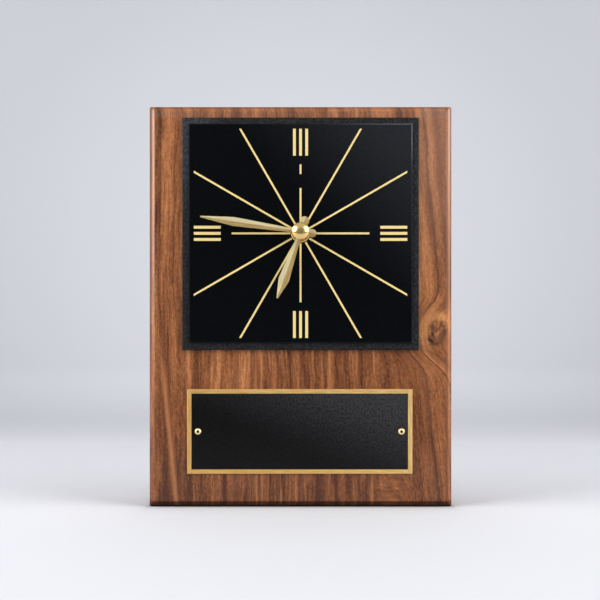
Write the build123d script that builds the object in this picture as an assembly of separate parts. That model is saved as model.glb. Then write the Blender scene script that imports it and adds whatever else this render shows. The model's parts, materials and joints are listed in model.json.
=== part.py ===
from build123d import *
import os
from math import cos, pi, radians, sin

# Wooden desk clock, millimetres. Origin at the centre of the base, front towards -Y, up is +Z.

# Walnut board
BOARD_WIDTH = 153.6
BOARD_DEPTH = 31.75
BOARD_HEIGHT = 203.2
FRONT_BEVEL = 3.0
BEVEL_EASE = 0.8
BACK_EASE = 1.0
CORNER_RADIUS = 1.0
WEB_THICKNESS = 6.35
POCKET_GAP = 3.0
POCKET_CORNER = 6.0

# Dial and its backing
DIAL_CENTRE_HEIGHT = 138.0
BACKING_WIDTH = 119.2
BACKING_HEIGHT = 116.9
BACKING_THICKNESS = 2.0
BACKING_EASE = 0.4
DIAL_MARGIN_SIDE = 3.45
DIAL_MARGIN_TOP = 3.35
DIAL_THICKNESS = 0.8
DIAL_BEVEL = 0.35

# Gold hour markers
MARKER_THICKNESS = 0.1
MARKER_MARGIN = 2.6
BAR_LENGTH = 13.5
BAR_WIDTH = 1.42
BAR_PITCH = 3.07
RAY_WIDTH = 0.95
RAY_GAP = 0.25
CARDINAL_RAY_END = 34.6
TOP_DASH_START = 29.8
TOP_RAY_END = 22.7

# Engraving plate
PLATE_WIDTH = 113.6
PLATE_THICKNESS = 1.0
PLATE_BEVEL = 0.2
PLATE_FOOT_GAP = 17.05
PLATE_TOP_GAP = 19.8
PLATE_ACROSS = -0.4
PLATE_BORDER = 2.45
FIELD_DEPTH = 0.15
ENAMEL_THICKNESS = 0.12
PIN_INSET = 5.5
PIN_HEAD_RADIUS = 1.7
PIN_HEAD_HEIGHT = 0.9
PIN_SHANK_RADIUS = 0.8
PIN_DEPTH = 8.0

# Fits, each measured on the radius or between faces
RUNNING_FIT = 0.04
SEAT_FIT = 0.01
HOLE_CLEARANCE = 0.2
END_PLAY = 0.1

# Hub stack in front of the dial
BUSH_RADIUS = 3.5
BUSH_PROUD = 0.4
WASHER_RADIUS = 4.7
WASHER_THICKNESS = 0.4
NUT_RADIUS = 4.8
NUT_THICKNESS = 2.2
NUT_BEVEL = 0.3
NUT_SLOT_WIDTH = 1.2
NUT_SLOT_DEPTH = 0.8
HOUR_PIPE_RADIUS = 2.5
HOUR_PIPE_PROUD = 0.35
MINUTE_ARBOR_RADIUS = 1.5
ARBOR_FLAT_WIDTH = 2.2
HOUR_HAND_GAP = 0.55
MINUTE_HAND_GAP = 1.2
CAP_RADIUS = 4.25
CAP_DRUM = 1.8
CAP_DOME = 2.1
CAP_THREAD_LENGTH = 2.6

# Hands
HAND_EDGE = 0.35
HAND_SLOPE = 0.17
HUB_THICKNESS = 0.8
HAND_TIP_WIDTH = 0.7
HOUR_ANGLE = 199.5
HOUR_TIP = 34.8
HOUR_WIDEST = 5.45
HOUR_WIDEST_AT = 25.0
HOUR_ROOT_WIDTH = 1.6
HOUR_TAIL_LENGTH = 8.2
HOUR_TAIL_WIDTH = 4.7
HOUR_HUB_RADIUS = 3.6
MINUTE_ANGLE = 278.5
MINUTE_TIP = 50.2
MINUTE_WIDEST = 4.45
MINUTE_WIDEST_AT = 33.6
MINUTE_ROOT_WIDTH = 1.6
MINUTE_TAIL_LENGTH = 7.9
MINUTE_TAIL_WIDTH = 4.05
MINUTE_HUB_RADIUS = 3.0

# Battery cell and movement case
CELL_RADIUS = 7.25
CELL_LENGTH = 50.5
CELL_EASE = 0.6
NUB_RADIUS = 2.75
NUB_LENGTH = 1.0
RUBBER_RADIUS = 12.0
RUBBER_THICKNESS = 1.0
CASE_WALL = 1.4
CASE_CORNER = 3.0
FRONT_WALL = 1.8
COVER_THICKNESS = 1.8
BAY_FLOOR = 1.0
BAY_CLEARANCE = 0.15
BAY_REAR = 0.2
DIVIDER = 1.2
LIP_LENGTH = 12.0
LIP_DEPTH = 1.0
LIP_REACH = 0.7
BUSH_FLANGE_RADIUS = 5.0
BUSH_FLANGE = 0.4
WHEEL_CLEARANCE = 0.76

# Leaf contacts and snap tabs
CONTACT_THICKNESS = 0.3
CONTACT_WIDTH = 4.6
CONTACT_SPACE = 1.35
CONTACT_FLAT = 3.0
CONTACT_NOTCH = 0.2
CONTACT_GAP = 0.02
TAB_WIDTH = 6.0
TAB_THICKNESS = 0.9
TAB_LENGTH = 3.0
TAB_GAP = 0.2
TAB_BARB = 0.6
TAB_BARB_HEIGHT = 1.0
SIDE_TAB_HEIGHT = 5.0
TOP_TAB_SPREAD = 14.0

# Gear train: teeth, centre distances, and directions counted anticlockwise from the right
ROTOR_LEAVES = 10
INTERMEDIATE_TEETH = 60
INTERMEDIATE_LEAVES = 12
SECONDS_TEETH = 60
SECONDS_LEAVES = 8
THIRD_TEETH = 60
THIRD_LEAVES = 8
CENTRE_TEETH = 64
CANNON_LEAVES = 12
MOTION_TEETH = 36
MOTION_LEAVES = 10
HOUR_TEETH = 40
TRAIN_DISTANCE = 10.8
MOTION_DISTANCE = 10.0
ROTOR_DISTANCE = 8.75
THIRD_ANGLE = 70
INTERMEDIATE_ANGLE = 170
ROTOR_ANGLE = 100
MOTION_ANGLE = -5
SETTING_ANGLE = 20

# Tooth form, as shares of the module or of the pitch
ADDENDUM = 0.8
DEDENDUM = 1.1
TOOTH_ROOT = 0.56
TOOTH_TIP = 0.21

# Layers, arbors and bridge
MOTION_FACE = 1.0
WHEEL_FACE = 0.8
LAYER_GAP = 0.6
ARBOR_RADIUS = 0.6
PIVOT_RADIUS = 0.4
PIVOT_DEPTH = 1.2
STUD_RADIUS = 0.8
STUD_COLLAR_RADIUS = 1.5
ARBOR_COLLAR_RADIUS = 2.0
ARBOR_COLLAR = 0.25
SETTING_RADIUS = 1.0
BRIDGE_THICKNESS = 1.2
BRIDGE_PAD = 3.0
PIVOT_PAD = 2.0
PILLAR_RADIUS = 1.6
PILLAR_GAP = 1.3
PILLAR_SHOULDER = 0.5
TOP_PILLAR_ANGLE = 110
RIGHT_PILLAR_ANGLE = -21
LEFT_PILLAR_ANGLE = 202
SPRING_RADIUS = 2.6
SPRING_THICKNESS = 0.2

# Screws
SCREW_RADIUS = 0.7
SCREW_HEAD_RADIUS = 1.2
SCREW_HEAD = 0.8
SCREW_SLOT = 0.35
SCREW_LENGTH = 4.0

# Stepping motor
MAGNET_RADIUS = 2.4
MAGNET_LENGTH = 3.4
MAGNET_GAP = 0.5
STATOR_SIDE = 4.5
STATOR_ARM = 3.0
STATOR_THICKNESS = 1.0
STATOR_CLEARANCE = 0.42
CORE_WIDTH = 3.0
BOBBIN_SIDE = 6.4
BOBBIN_WALL = 0.6
BOBBIN_CORNER = 1.0
COIL_WALL_GAP = 0.8
COIL_END_GAP = 0.3
WINDING_STEP = 0.4

# Circuit board
CIRCUIT_HEIGHT = 7.1
CIRCUIT_THICKNESS = 1.0
CIRCUIT_GAP = 1.1
CIRCUIT_EDGE = 0.5
CIRCUIT_POST_RADIUS = 1.5
CIRCUIT_POST_INSET = 4.0
CRYSTAL_RADIUS = 1.0
CRYSTAL_LENGTH = 6.0
CRYSTAL_PLACE = 8.0
CHIP_RADIUS = 2.2
CHIP_HEIGHT = 0.9
CHIP_PLACE = 16.0

# Setting knob
KNOB_RADIUS = 6.0
KNOB_THICKNESS = 5.0
KNOB_GAP = 0.4
KNOB_FLUTES = 24
KNOB_FLUTE_DEPTH = 0.4
KNOB_FLOOR = 1.0

# Frame of the clockwork: x to the right, y up, z out of the board towards the reader of the time
FRONT = Plane(
    origin=(0, -BOARD_DEPTH / 2, DIAL_CENTRE_HEIGHT), x_dir=(1, 0, 0), z_dir=(0, -1, 0)
)


def away(point, distance, direction):
    """Point at a distance from another, in a direction given in degrees."""
    turn = radians(direction)
    return (point[0] + distance * cos(turn), point[1] + distance * sin(turn))


def module_for(distance, teeth, leaves):
    """Module of a wheel and pinion that mesh at a centre distance."""
    return 2 * distance / (teeth + leaves)


def tip_radius(teeth, module):
    """Radius over the tips of a wheel's teeth."""
    return module * (teeth / 2 + ADDENDUM)


# Arbor places
CENTRE = (0, 0)
THIRD = away(CENTRE, TRAIN_DISTANCE, THIRD_ANGLE)
INTERMEDIATE = away(CENTRE, TRAIN_DISTANCE, INTERMEDIATE_ANGLE)
ROTOR = away(INTERMEDIATE, ROTOR_DISTANCE, ROTOR_ANGLE)
MOTION = away(CENTRE, MOTION_DISTANCE, MOTION_ANGLE)
SETTING = away(MOTION, MOTION_DISTANCE, SETTING_ANGLE)

# Modules, from the centre distances
CENTRE_MODULE = module_for(TRAIN_DISTANCE, CENTRE_TEETH, THIRD_LEAVES)
THIRD_MODULE = module_for(TRAIN_DISTANCE, THIRD_TEETH, SECONDS_LEAVES)
SECONDS_MODULE = module_for(TRAIN_DISTANCE, SECONDS_TEETH, INTERMEDIATE_LEAVES)
ROTOR_MODULE = module_for(ROTOR_DISTANCE, INTERMEDIATE_TEETH, ROTOR_LEAVES)
CANNON_MODULE = module_for(MOTION_DISTANCE, MOTION_TEETH, CANNON_LEAVES)
HOUR_MODULE = module_for(MOTION_DISTANCE, HOUR_TEETH, MOTION_LEAVES)

# Pillars of the bridge stand just past the rims of the wheels
TOP_PILLAR = away(
    CENTRE,
    TRAIN_DISTANCE + tip_radius(THIRD_TEETH, THIRD_MODULE) + PILLAR_GAP,
    TOP_PILLAR_ANGLE,
)
RIGHT_PILLAR = away(
    CENTRE,
    MOTION_DISTANCE + tip_radius(MOTION_TEETH, CANNON_MODULE) + PILLAR_GAP,
    RIGHT_PILLAR_ANGLE,
)
LEFT_PILLAR = away(
    CENTRE, TRAIN_DISTANCE + tip_radius(INTERMEDIATE_TEETH, ROTOR_MODULE), LEFT_PILLAR_ANGLE
)
PILLARS = (TOP_PILLAR, RIGHT_PILLAR, LEFT_PILLAR)

# Layers of the train, as depths behind the front of the movement case
HOUR_LAYER = FRONT_WALL + BUSH_FLANGE + END_PLAY
MOTION_LAYER = HOUR_LAYER + MOTION_FACE + LAYER_GAP
CENTRE_LAYER = MOTION_LAYER + MOTION_FACE + LAYER_GAP
THIRD_LAYER = CENTRE_LAYER + WHEEL_FACE + LAYER_GAP
SECONDS_LAYER = THIRD_LAYER + WHEEL_FACE + LAYER_GAP
INTERMEDIATE_LAYER = SECONDS_LAYER + WHEEL_FACE + LAYER_GAP
BRIDGE_LAYER = INTERMEDIATE_LAYER + WHEEL_FACE + LAYER_GAP
ARBOR_END = CENTRE_LAYER + WHEEL_FACE + END_PLAY + ARBOR_COLLAR
STATOR_LAYER = CENTRE_LAYER + WHEEL_FACE
CORE_LAYER = STATOR_LAYER + STATOR_THICKNESS
MAGNET_LAYER = STATOR_LAYER + (STATOR_THICKNESS - MAGNET_LENGTH) / 2
CIRCUIT_LAYER = SECONDS_LAYER

# Movement case, measured from the dial axis
CASE_DEPTH = BAY_FLOOR + 2 * (CELL_RADIUS + BAY_CLEARANCE) + BAY_REAR
COVER_LAYER = CASE_DEPTH - COVER_THICKNESS
CASE_HALF_WIDTH = CELL_LENGTH / 2 + CONTACT_SPACE + CASE_WALL
ROOM_HALF_WIDTH = CASE_HALF_WIDTH - CASE_WALL
ROOM_BOTTOM = -(tip_radius(CENTRE_TEETH, CENTRE_MODULE) + WHEEL_CLEARANCE)
BAY_TOP = ROOM_BOTTOM - DIVIDER
BAY_BOTTOM = BAY_TOP - 2 * (CELL_RADIUS + BAY_CLEARANCE)
CASE_BOTTOM = BAY_BOTTOM - CASE_WALL
CELL_AXIS = (BAY_TOP + BAY_BOTTOM) / 2
CELL_LAYER = BAY_FLOOR + BAY_CLEARANCE + CELL_RADIUS
STATOR_BOTTOM = INTERMEDIATE[1] + ARBOR_RADIUS + STATOR_CLEARANCE
STATOR_TOP = 2 * ROTOR[1] - STATOR_BOTTOM
CIRCUIT_BOTTOM = STATOR_TOP + CIRCUIT_GAP
CIRCUIT_TOP = CIRCUIT_BOTTOM + CIRCUIT_HEIGHT
ROOM_TOP = CIRCUIT_TOP + CIRCUIT_EDGE
CASE_TOP = ROOM_TOP + CASE_WALL
COIL_PLACE = -ROOM_HALF_WIDTH + COIL_WALL_GAP + BOBBIN_SIDE / 2
STATOR_HOLES = (
    (COIL_PLACE, STATOR_BOTTOM + STATOR_ARM / 2),
    (COIL_PLACE, STATOR_TOP - STATOR_ARM / 2),
)

# Heights in front of the board
CASE_FRONT = -WEB_THICKNESS - RUBBER_THICKNESS
DIAL_FRONT = BACKING_THICKNESS + DIAL_THICKNESS
NUT_BACK = DIAL_FRONT + WASHER_THICKNESS
NUT_FRONT = NUT_BACK + NUT_THICKNESS
BUSH_FRONT = NUT_FRONT + BUSH_PROUD
HOUR_HAND_BACK = BUSH_FRONT + HOUR_HAND_GAP
HOUR_PIPE_FRONT = HOUR_HAND_BACK + HUB_THICKNESS + HOUR_PIPE_PROUD
MINUTE_HAND_BACK = HOUR_PIPE_FRONT + MINUTE_HAND_GAP
CAP_BACK = MINUTE_HAND_BACK + HUB_THICKNESS
ARBOR_FRONT = CAP_BACK + CAP_THREAD_LENGTH


def slab(outline, low, high):
    """Flat outline carried from one height to another."""
    return extrude(Pos(0, 0, low) * outline, high - low)


def inside(outline, start, end):
    """Flat outline carried between two depths behind the front of the movement case."""
    return slab(outline, CASE_FRONT - end, CASE_FRONT - start)


def ring(outer, inner):
    """Round outline with a round hole."""
    return Circle(outer) - Circle(inner)


def span(left, right, bottom, top):
    """Rectangle given by its four sides."""
    return Pos((left + right) / 2, (bottom + top) / 2) * Rectangle(right - left, top - bottom)


def at(point):
    """Place of an arbor or pillar."""
    return Pos(point[0], point[1], 0)


def dome(radius, height, base):
    """Cap of a ball, of the given base radius and height."""
    ball = (radius**2 + height**2) / (2 * height)
    cap = Pos(0, 0, base + height - ball) * Sphere(ball)
    return cap & slab(Circle(2 * radius), base, base + 2 * height)


def ease_front(part, size):
    """Bevel the outer edge of a part's front face."""
    return chamfer(part.faces().sort_by(Axis.Z)[-1].outer_wire().edges(), size)


# Wooden board, in the clock's own frame
def board_block():
    """Board whose bevels meet in mitres, with eased edges and slightly rounded corners."""
    board = Pos(0, 0, BOARD_HEIGHT / 2) * Box(BOARD_WIDTH, BOARD_DEPTH, BOARD_HEIGHT)
    board = chamfer(board.faces().sort_by(Axis.Y)[0].edges(), FRONT_BEVEL)
    face_edges, _, outline_edges = board.edges().group_by(Axis.Y)[:3]
    board = fillet(face_edges + outline_edges, BEVEL_EASE)
    board = fillet(board.faces().sort_by(Axis.Y)[-1].edges(), BACK_EASE)
    facing = Plane(origin=(0, 0, BOARD_HEIGHT / 2), x_dir=(1, 0, 0), z_dir=(0, -1, 0))
    outline = RectangleRounded(BOARD_WIDTH, BOARD_HEIGHT, CORNER_RADIUS)
    return board & extrude(facing * outline, BOARD_DEPTH, both=True)


def walnut_board():
    """Wooden board with the movement's pocket, the bush hole and the pin holes."""
    board = board_block()
    pocket_width = 2 * (CASE_HALF_WIDTH + POCKET_GAP)
    pocket_height = CASE_TOP - CASE_BOTTOM + 2 * POCKET_GAP
    pocket = at((0, (CASE_TOP + CASE_BOTTOM) / 2)) * RectangleRounded(
        pocket_width, pocket_height, POCKET_CORNER
    )
    board -= FRONT * slab(pocket, -BOARD_DEPTH, -WEB_THICKNESS)
    board -= FRONT * slab(Circle(BUSH_RADIUS + HOLE_CLEARANCE), -WEB_THICKNESS, 0)
    for place in pin_places():
        board -= FRONT * slab(at(place) * Circle(PIN_SHANK_RADIUS + SEAT_FIT), -PIN_DEPTH, 0)
    return board


# Dial
def dial_backing():
    """Black square that carries the dial."""
    outline = Rectangle(BACKING_WIDTH, BACKING_HEIGHT) - Circle(BUSH_RADIUS + HOLE_CLEARANCE)
    return ease_front(slab(outline, 0, BACKING_THICKNESS), BACKING_EASE)


def dial_size():
    """Width and height of the dial plate."""
    return BACKING_WIDTH - 2 * DIAL_MARGIN_SIDE, BACKING_HEIGHT - 2 * DIAL_MARGIN_TOP


def dial_plate():
    """Dial sheet with a bevelled edge."""
    outline = Rectangle(*dial_size()) - Circle(BUSH_RADIUS + HOLE_CLEARANCE)
    return ease_front(slab(outline, BACKING_THICKNESS, DIAL_FRONT), DIAL_BEVEL)


def strip(width, start, end, angle, offset=0.0):
    """Straight strip between two distances from the dial centre, at a clock angle."""
    return Rot(0, 0, -angle) * Pos(offset, (start + end) / 2) * Rectangle(width, end - start)


def hour_markers():
    """Rays at the hours and three bars at each quarter, all within one rectangle."""
    width, height = (size - 2 * MARKER_MARGIN for size in dial_size())
    field = Rectangle(width, height)
    ray_start = NUT_RADIUS + RAY_GAP
    outlines = []
    for angle in range(0, 360, 30):
        if angle % 90:
            outlines.append(strip(RAY_WIDTH, ray_start, width, angle) & field)
    for angle, reach in ((0, height), (90, width), (180, height), (270, width)):
        for place in (-BAR_PITCH, 0, BAR_PITCH):
            outlines.append(strip(BAR_WIDTH, reach / 2 - BAR_LENGTH, reach / 2, angle, place))
        if angle:
            outlines.append(strip(RAY_WIDTH, ray_start, CARDINAL_RAY_END, angle))
    outlines.append(strip(RAY_WIDTH, TOP_DASH_START, CARDINAL_RAY_END, 0))
    outlines.append(strip(RAY_WIDTH, ray_start, TOP_RAY_END, 0))
    return Part() + [slab(outline, DIAL_FRONT, DIAL_FRONT + MARKER_THICKNESS) for outline in outlines]


# Engraving plate
def plate_height():
    """Height of the engraving plate, which fills the board below the dial but for two gaps."""
    return DIAL_CENTRE_HEIGHT - BACKING_HEIGHT / 2 - PLATE_TOP_GAP - PLATE_FOOT_GAP


def plate_place():
    """Centre of the engraving plate, seen from the dial centre."""
    return PLATE_ACROSS, PLATE_FOOT_GAP + plate_height() / 2 - DIAL_CENTRE_HEIGHT


def pin_places():
    """Two pins near the ends of the plate."""
    across, height = plate_place()
    reach = PLATE_WIDTH / 2 - PIN_INSET
    return [(across + side * reach, height) for side in (-1, 1)]


def plate_field():
    """Outline of the sunk field inside the border."""
    outline = Rectangle(PLATE_WIDTH - 2 * PLATE_BORDER, plate_height() - 2 * PLATE_BORDER)
    return at(plate_place()) * outline


def pin_holes(outline):
    """Outline with the holes that the pins pass through."""
    for place in pin_places():
        outline -= at(place) * Circle(PIN_SHANK_RADIUS + SEAT_FIT)
    return outline


def engraving_plate():
    """Brass plate with a sunk field."""
    sheet = at(plate_place()) * Rectangle(PLATE_WIDTH, plate_height())
    plate = ease_front(slab(pin_holes(sheet), 0, PLATE_THICKNESS), PLATE_BEVEL)
    return plate - slab(plate_field(), PLATE_THICKNESS - FIELD_DEPTH, PLATE_THICKNESS)


def plate_enamel():
    """Black filling of the field."""
    floor = PLATE_THICKNESS - FIELD_DEPTH
    return slab(pin_holes(plate_field()), floor, floor + ENAMEL_THICKNESS)


def plate_pins():
    """Domed pins driven through the plate into the board."""
    seat = PLATE_THICKNESS - FIELD_DEPTH + ENAMEL_THICKNESS
    pin = dome(PIN_HEAD_RADIUS, PIN_HEAD_HEIGHT, seat)
    pin += slab(Circle(PIN_SHANK_RADIUS), -PIN_DEPTH, seat)
    return Part() + [at(place) * pin for place in pin_places()]


# Hub and hands
def nut_washer():
    """Thin washer under the mounting nut."""
    return slab(ring(WASHER_RADIUS, BUSH_RADIUS + SEAT_FIT), DIAL_FRONT, NUT_BACK)


def mounting_nut():
    """Round nut with two slots for a spanner."""
    nut = ease_front(slab(Circle(NUT_RADIUS), NUT_BACK, NUT_FRONT), NUT_BEVEL)
    nut -= slab(Circle(BUSH_RADIUS + SEAT_FIT), NUT_BACK, NUT_FRONT)
    slot = Rectangle(2 * NUT_RADIUS, NUT_SLOT_WIDTH)
    return nut - slab(slot, NUT_FRONT - NUT_SLOT_DEPTH, NUT_FRONT)


def hand_section(place, width):
    """Cut across a hand: flat back, two edges and a ridge along the middle."""
    ridge = HAND_EDGE + HAND_SLOPE * width / 2
    corners = (
        (-width / 2, 0),
        (width / 2, 0),
        (width / 2, HAND_EDGE),
        (0, ridge),
        (-width / 2, HAND_EDGE),
    )
    across = Plane(origin=(0, place, 0), x_dir=(1, 0, 0), z_dir=(0, -1, 0))
    return across * make_face(Polyline(*corners, close=True))


def hand(tip, widest, widest_at, root_width, tail_length, tail_width, hub_radius):
    """Faceted hand pointing at twelve, its hub on the axis and its back at height zero."""
    blade_sections = ((0, root_width), (widest_at, widest), (tip, HAND_TIP_WIDTH))
    blade = loft([hand_section(*section) for section in blade_sections], ruled=True)
    round_centre = tail_width / 2 - tail_length
    tail_sections = ((0, root_width), (round_centre, tail_width), (-tail_length, tail_width))
    tail = loft([hand_section(*section) for section in tail_sections], ruled=True)
    tail_end = Pos(0, round_centre) * Circle(tail_width / 2)
    tail_end += span(-tail_width, tail_width, round_centre, 0)
    tail &= slab(tail_end, 0, tail_width)
    return blade + tail + slab(Circle(hub_radius), 0, HUB_THICKNESS)


def hour_hand():
    """Hour hand, pressed on the hour pipe."""
    blade = hand(
        HOUR_TIP,
        HOUR_WIDEST,
        HOUR_WIDEST_AT,
        HOUR_ROOT_WIDTH,
        HOUR_TAIL_LENGTH,
        HOUR_TAIL_WIDTH,
        HOUR_HUB_RADIUS,
    )
    blade -= slab(Circle(HOUR_PIPE_RADIUS + SEAT_FIT), 0, HUB_THICKNESS)
    return Pos(0, 0, HOUR_HAND_BACK) * Rot(0, 0, -HOUR_ANGLE) * blade


def arbor_flats(clearance):
    """Round with two flats, on which the minute hand sits."""
    round_part = Circle(MINUTE_ARBOR_RADIUS + clearance)
    flats = Rectangle(4 * MINUTE_ARBOR_RADIUS, ARBOR_FLAT_WIDTH + 2 * clearance)
    return Rot(0, 0, -MINUTE_ANGLE) * (round_part & flats)


def minute_hand():
    """Minute hand, seated on the flats of its arbor."""
    blade = hand(
        MINUTE_TIP,
        MINUTE_WIDEST,
        MINUTE_WIDEST_AT,
        MINUTE_ROOT_WIDTH,
        MINUTE_TAIL_LENGTH,
        MINUTE_TAIL_WIDTH,
        MINUTE_HUB_RADIUS,
    )
    turned = Pos(0, 0, MINUTE_HAND_BACK) * Rot(0, 0, -MINUTE_ANGLE) * blade
    return turned - slab(arbor_flats(SEAT_FIT), MINUTE_HAND_BACK, CAP_BACK)


def cap_nut():
    """Domed nut on a short drum, with a blind threaded hole."""
    nut = slab(Circle(CAP_RADIUS), CAP_BACK, CAP_BACK + CAP_DRUM)
    nut += dome(CAP_RADIUS, CAP_DOME, CAP_BACK + CAP_DRUM)
    return nut - slab(Circle(MINUTE_ARBOR_RADIUS + SEAT_FIT), CAP_BACK, ARBOR_FRONT + END_PLAY)


def threaded_bush():
    """Bush that carries the hour pipe and is clamped by the mounting nut."""
    flange_back = CASE_FRONT - FRONT_WALL - BUSH_FLANGE
    bush = slab(Circle(BUSH_RADIUS), flange_back, BUSH_FRONT)
    bush += slab(Circle(BUSH_FLANGE_RADIUS), flange_back, CASE_FRONT - FRONT_WALL)
    return bush - slab(Circle(HOUR_PIPE_RADIUS + RUNNING_FIT), flange_back, BUSH_FRONT)


def rubber_washer():
    """Soft washer between the movement and the floor of the pocket."""
    return slab(ring(RUBBER_RADIUS, BUSH_RADIUS + HOLE_CLEARANCE), CASE_FRONT, -WEB_THICKNESS)


# Gears
def gear(teeth, module, phase=0.0):
    """Toothed outline with straight flanks, its first tooth at the given angle in radians."""
    pitch = 2 * pi / teeth
    root = module * (teeth / 2 - DEDENDUM)
    tip = tip_radius(teeth, module)
    flank = ((root, -TOOTH_ROOT), (tip, -TOOTH_TIP), (tip, TOOTH_TIP), (root, TOOTH_ROOT))
    points = []
    for tooth in range(teeth):
        for radius, share in flank:
            turn = phase + (tooth + share / 2) * pitch
            points.append((radius * cos(turn), radius * sin(turn)))
    return make_face(Polyline(*points, close=True))


def meshed(direction, teeth, driver_teeth, driver_phase=0.0):
    """Phase that puts a gap of one gear where its neighbour has a tooth."""
    line = radians(direction)
    shift = (driver_phase - line) * driver_teeth / (2 * pi)
    return line + pi + (0.5 - shift) * 2 * pi / teeth


def arbor(place, start, end):
    """Thin spindle with a pivot in the front wall and one in the bridge."""
    spindle = inside(Circle(ARBOR_RADIUS), start, end)
    spindle += inside(Circle(PIVOT_RADIUS), FRONT_WALL - PIVOT_DEPTH, start)
    spindle += inside(Circle(PIVOT_RADIUS), end, BRIDGE_LAYER + BRIDGE_THICKNESS)
    return at(place) * spindle


def train_arbor(place):
    """Spindle over the whole height between front wall and bridge."""
    return arbor(place, FRONT_WALL + END_PLAY, BRIDGE_LAYER - END_PLAY)


def hour_wheel():
    """Hour wheel with the pipe that carries the hour hand."""
    phase = meshed(MOTION_ANGLE + 180, HOUR_TEETH, MOTION_LEAVES)
    wheel = inside(gear(HOUR_TEETH, HOUR_MODULE, phase), HOUR_LAYER, HOUR_LAYER + MOTION_FACE)
    back = CASE_FRONT - HOUR_LAYER - MOTION_FACE
    wheel += slab(Circle(HOUR_PIPE_RADIUS), back, HOUR_PIPE_FRONT)
    return wheel - slab(Circle(MINUTE_ARBOR_RADIUS + RUNNING_FIT), back, HOUR_PIPE_FRONT)


def minute_arbor():
    """Minute spindle with its cannon pinion, a rear collar and a bore for the seconds pivot."""
    spindle = slab(Circle(MINUTE_ARBOR_RADIUS), CASE_FRONT - ARBOR_END, MINUTE_HAND_BACK)
    spindle += slab(arbor_flats(0), MINUTE_HAND_BACK, ARBOR_FRONT)
    cannon = gear(CANNON_LEAVES, CANNON_MODULE)
    spindle += inside(cannon, MOTION_LAYER, MOTION_LAYER + MOTION_FACE)
    spindle += inside(Circle(ARBOR_COLLAR_RADIUS), ARBOR_END - ARBOR_COLLAR, ARBOR_END)
    return spindle - inside(Circle(PIVOT_RADIUS + RUNNING_FIT), MOTION_LAYER, ARBOR_END)


def clutch_spring():
    """Dished washer that presses the centre wheel against the collar."""
    front = MOTION_LAYER + MOTION_FACE
    back = CENTRE_LAYER - RUNNING_FIT
    bore = MINUTE_ARBOR_RADIUS + RUNNING_FIT
    section = Plane.XZ * make_face(
        Polyline(
            (SPRING_RADIUS, CASE_FRONT - front),
            (SPRING_RADIUS, CASE_FRONT - front - SPRING_THICKNESS),
            (bore, CASE_FRONT - back),
            (bore, CASE_FRONT - back + SPRING_THICKNESS),
            close=True,
        )
    )
    return revolve(section, Axis.Z)


def centre_wheel_phase():
    """Phase of the centre wheel, set by the third pinion."""
    return meshed(THIRD_ANGLE + 180, CENTRE_TEETH, THIRD_LEAVES)


def centre_wheel():
    """Wheel that drives the minute arbor through the friction clutch."""
    outline = gear(CENTRE_TEETH, CENTRE_MODULE, centre_wheel_phase())
    outline -= Circle(MINUTE_ARBOR_RADIUS + RUNNING_FIT)
    return inside(outline, CENTRE_LAYER, CENTRE_LAYER + WHEEL_FACE)


def motion_phase():
    """Phase of the motion wheel, set by the cannon pinion."""
    return meshed(MOTION_ANGLE, MOTION_TEETH, CANNON_LEAVES)


def motion_wheel():
    """Wheel and pinion of the motion work, running on a stud."""
    wheel = gear(MOTION_TEETH, CANNON_MODULE, motion_phase())
    part = inside(wheel, MOTION_LAYER, MOTION_LAYER + MOTION_FACE)
    part += inside(gear(MOTION_LEAVES, HOUR_MODULE), HOUR_LAYER, MOTION_LAYER)
    part -= inside(Circle(STUD_RADIUS + RUNNING_FIT), HOUR_LAYER, CENTRE_LAYER)
    return at(MOTION) * part


def setting_arbor():
    """Setting pinion on the spindle that the knob turns."""
    phase = meshed(SETTING_ANGLE, CANNON_LEAVES, MOTION_TEETH, motion_phase())
    part = inside(Circle(SETTING_RADIUS), FRONT_WALL + END_PLAY, knob_back() - KNOB_FLOOR)
    part += inside(Circle(PIVOT_RADIUS), FRONT_WALL - PIVOT_DEPTH, FRONT_WALL + END_PLAY)
    pinion = gear(CANNON_LEAVES, CANNON_MODULE, phase)
    part += inside(pinion, MOTION_LAYER, MOTION_LAYER + MOTION_FACE)
    return at(SETTING) * part


def knob_back():
    """Depth of the knob's outer face."""
    return CASE_DEPTH + KNOB_GAP + KNOB_THICKNESS


def setting_knob():
    """Fluted knob pressed on the setting arbor."""
    points = []
    for flute in range(2 * KNOB_FLUTES):
        radius = KNOB_RADIUS - KNOB_FLUTE_DEPTH * (flute % 2)
        points.append(away(CENTRE, radius, flute * 180 / KNOB_FLUTES))
    knob = inside(make_face(Polyline(*points, close=True)), CASE_DEPTH + KNOB_GAP, knob_back())
    bore = Circle(SETTING_RADIUS + SEAT_FIT)
    return at(SETTING) * (knob - inside(bore, CASE_DEPTH + KNOB_GAP, knob_back() - KNOB_FLOOR))


def third_phase():
    """Phase of the third wheel, set by the seconds pinion."""
    return meshed(THIRD_ANGLE, THIRD_TEETH, SECONDS_LEAVES)


def third_wheel():
    """Third wheel with the pinion that drives the centre wheel."""
    part = inside(gear(THIRD_TEETH, THIRD_MODULE, third_phase()), THIRD_LAYER, THIRD_LAYER + WHEEL_FACE)
    part += inside(gear(THIRD_LEAVES, CENTRE_MODULE), CENTRE_LAYER - END_PLAY, THIRD_LAYER)
    return at(THIRD) * part + train_arbor(THIRD)


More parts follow.
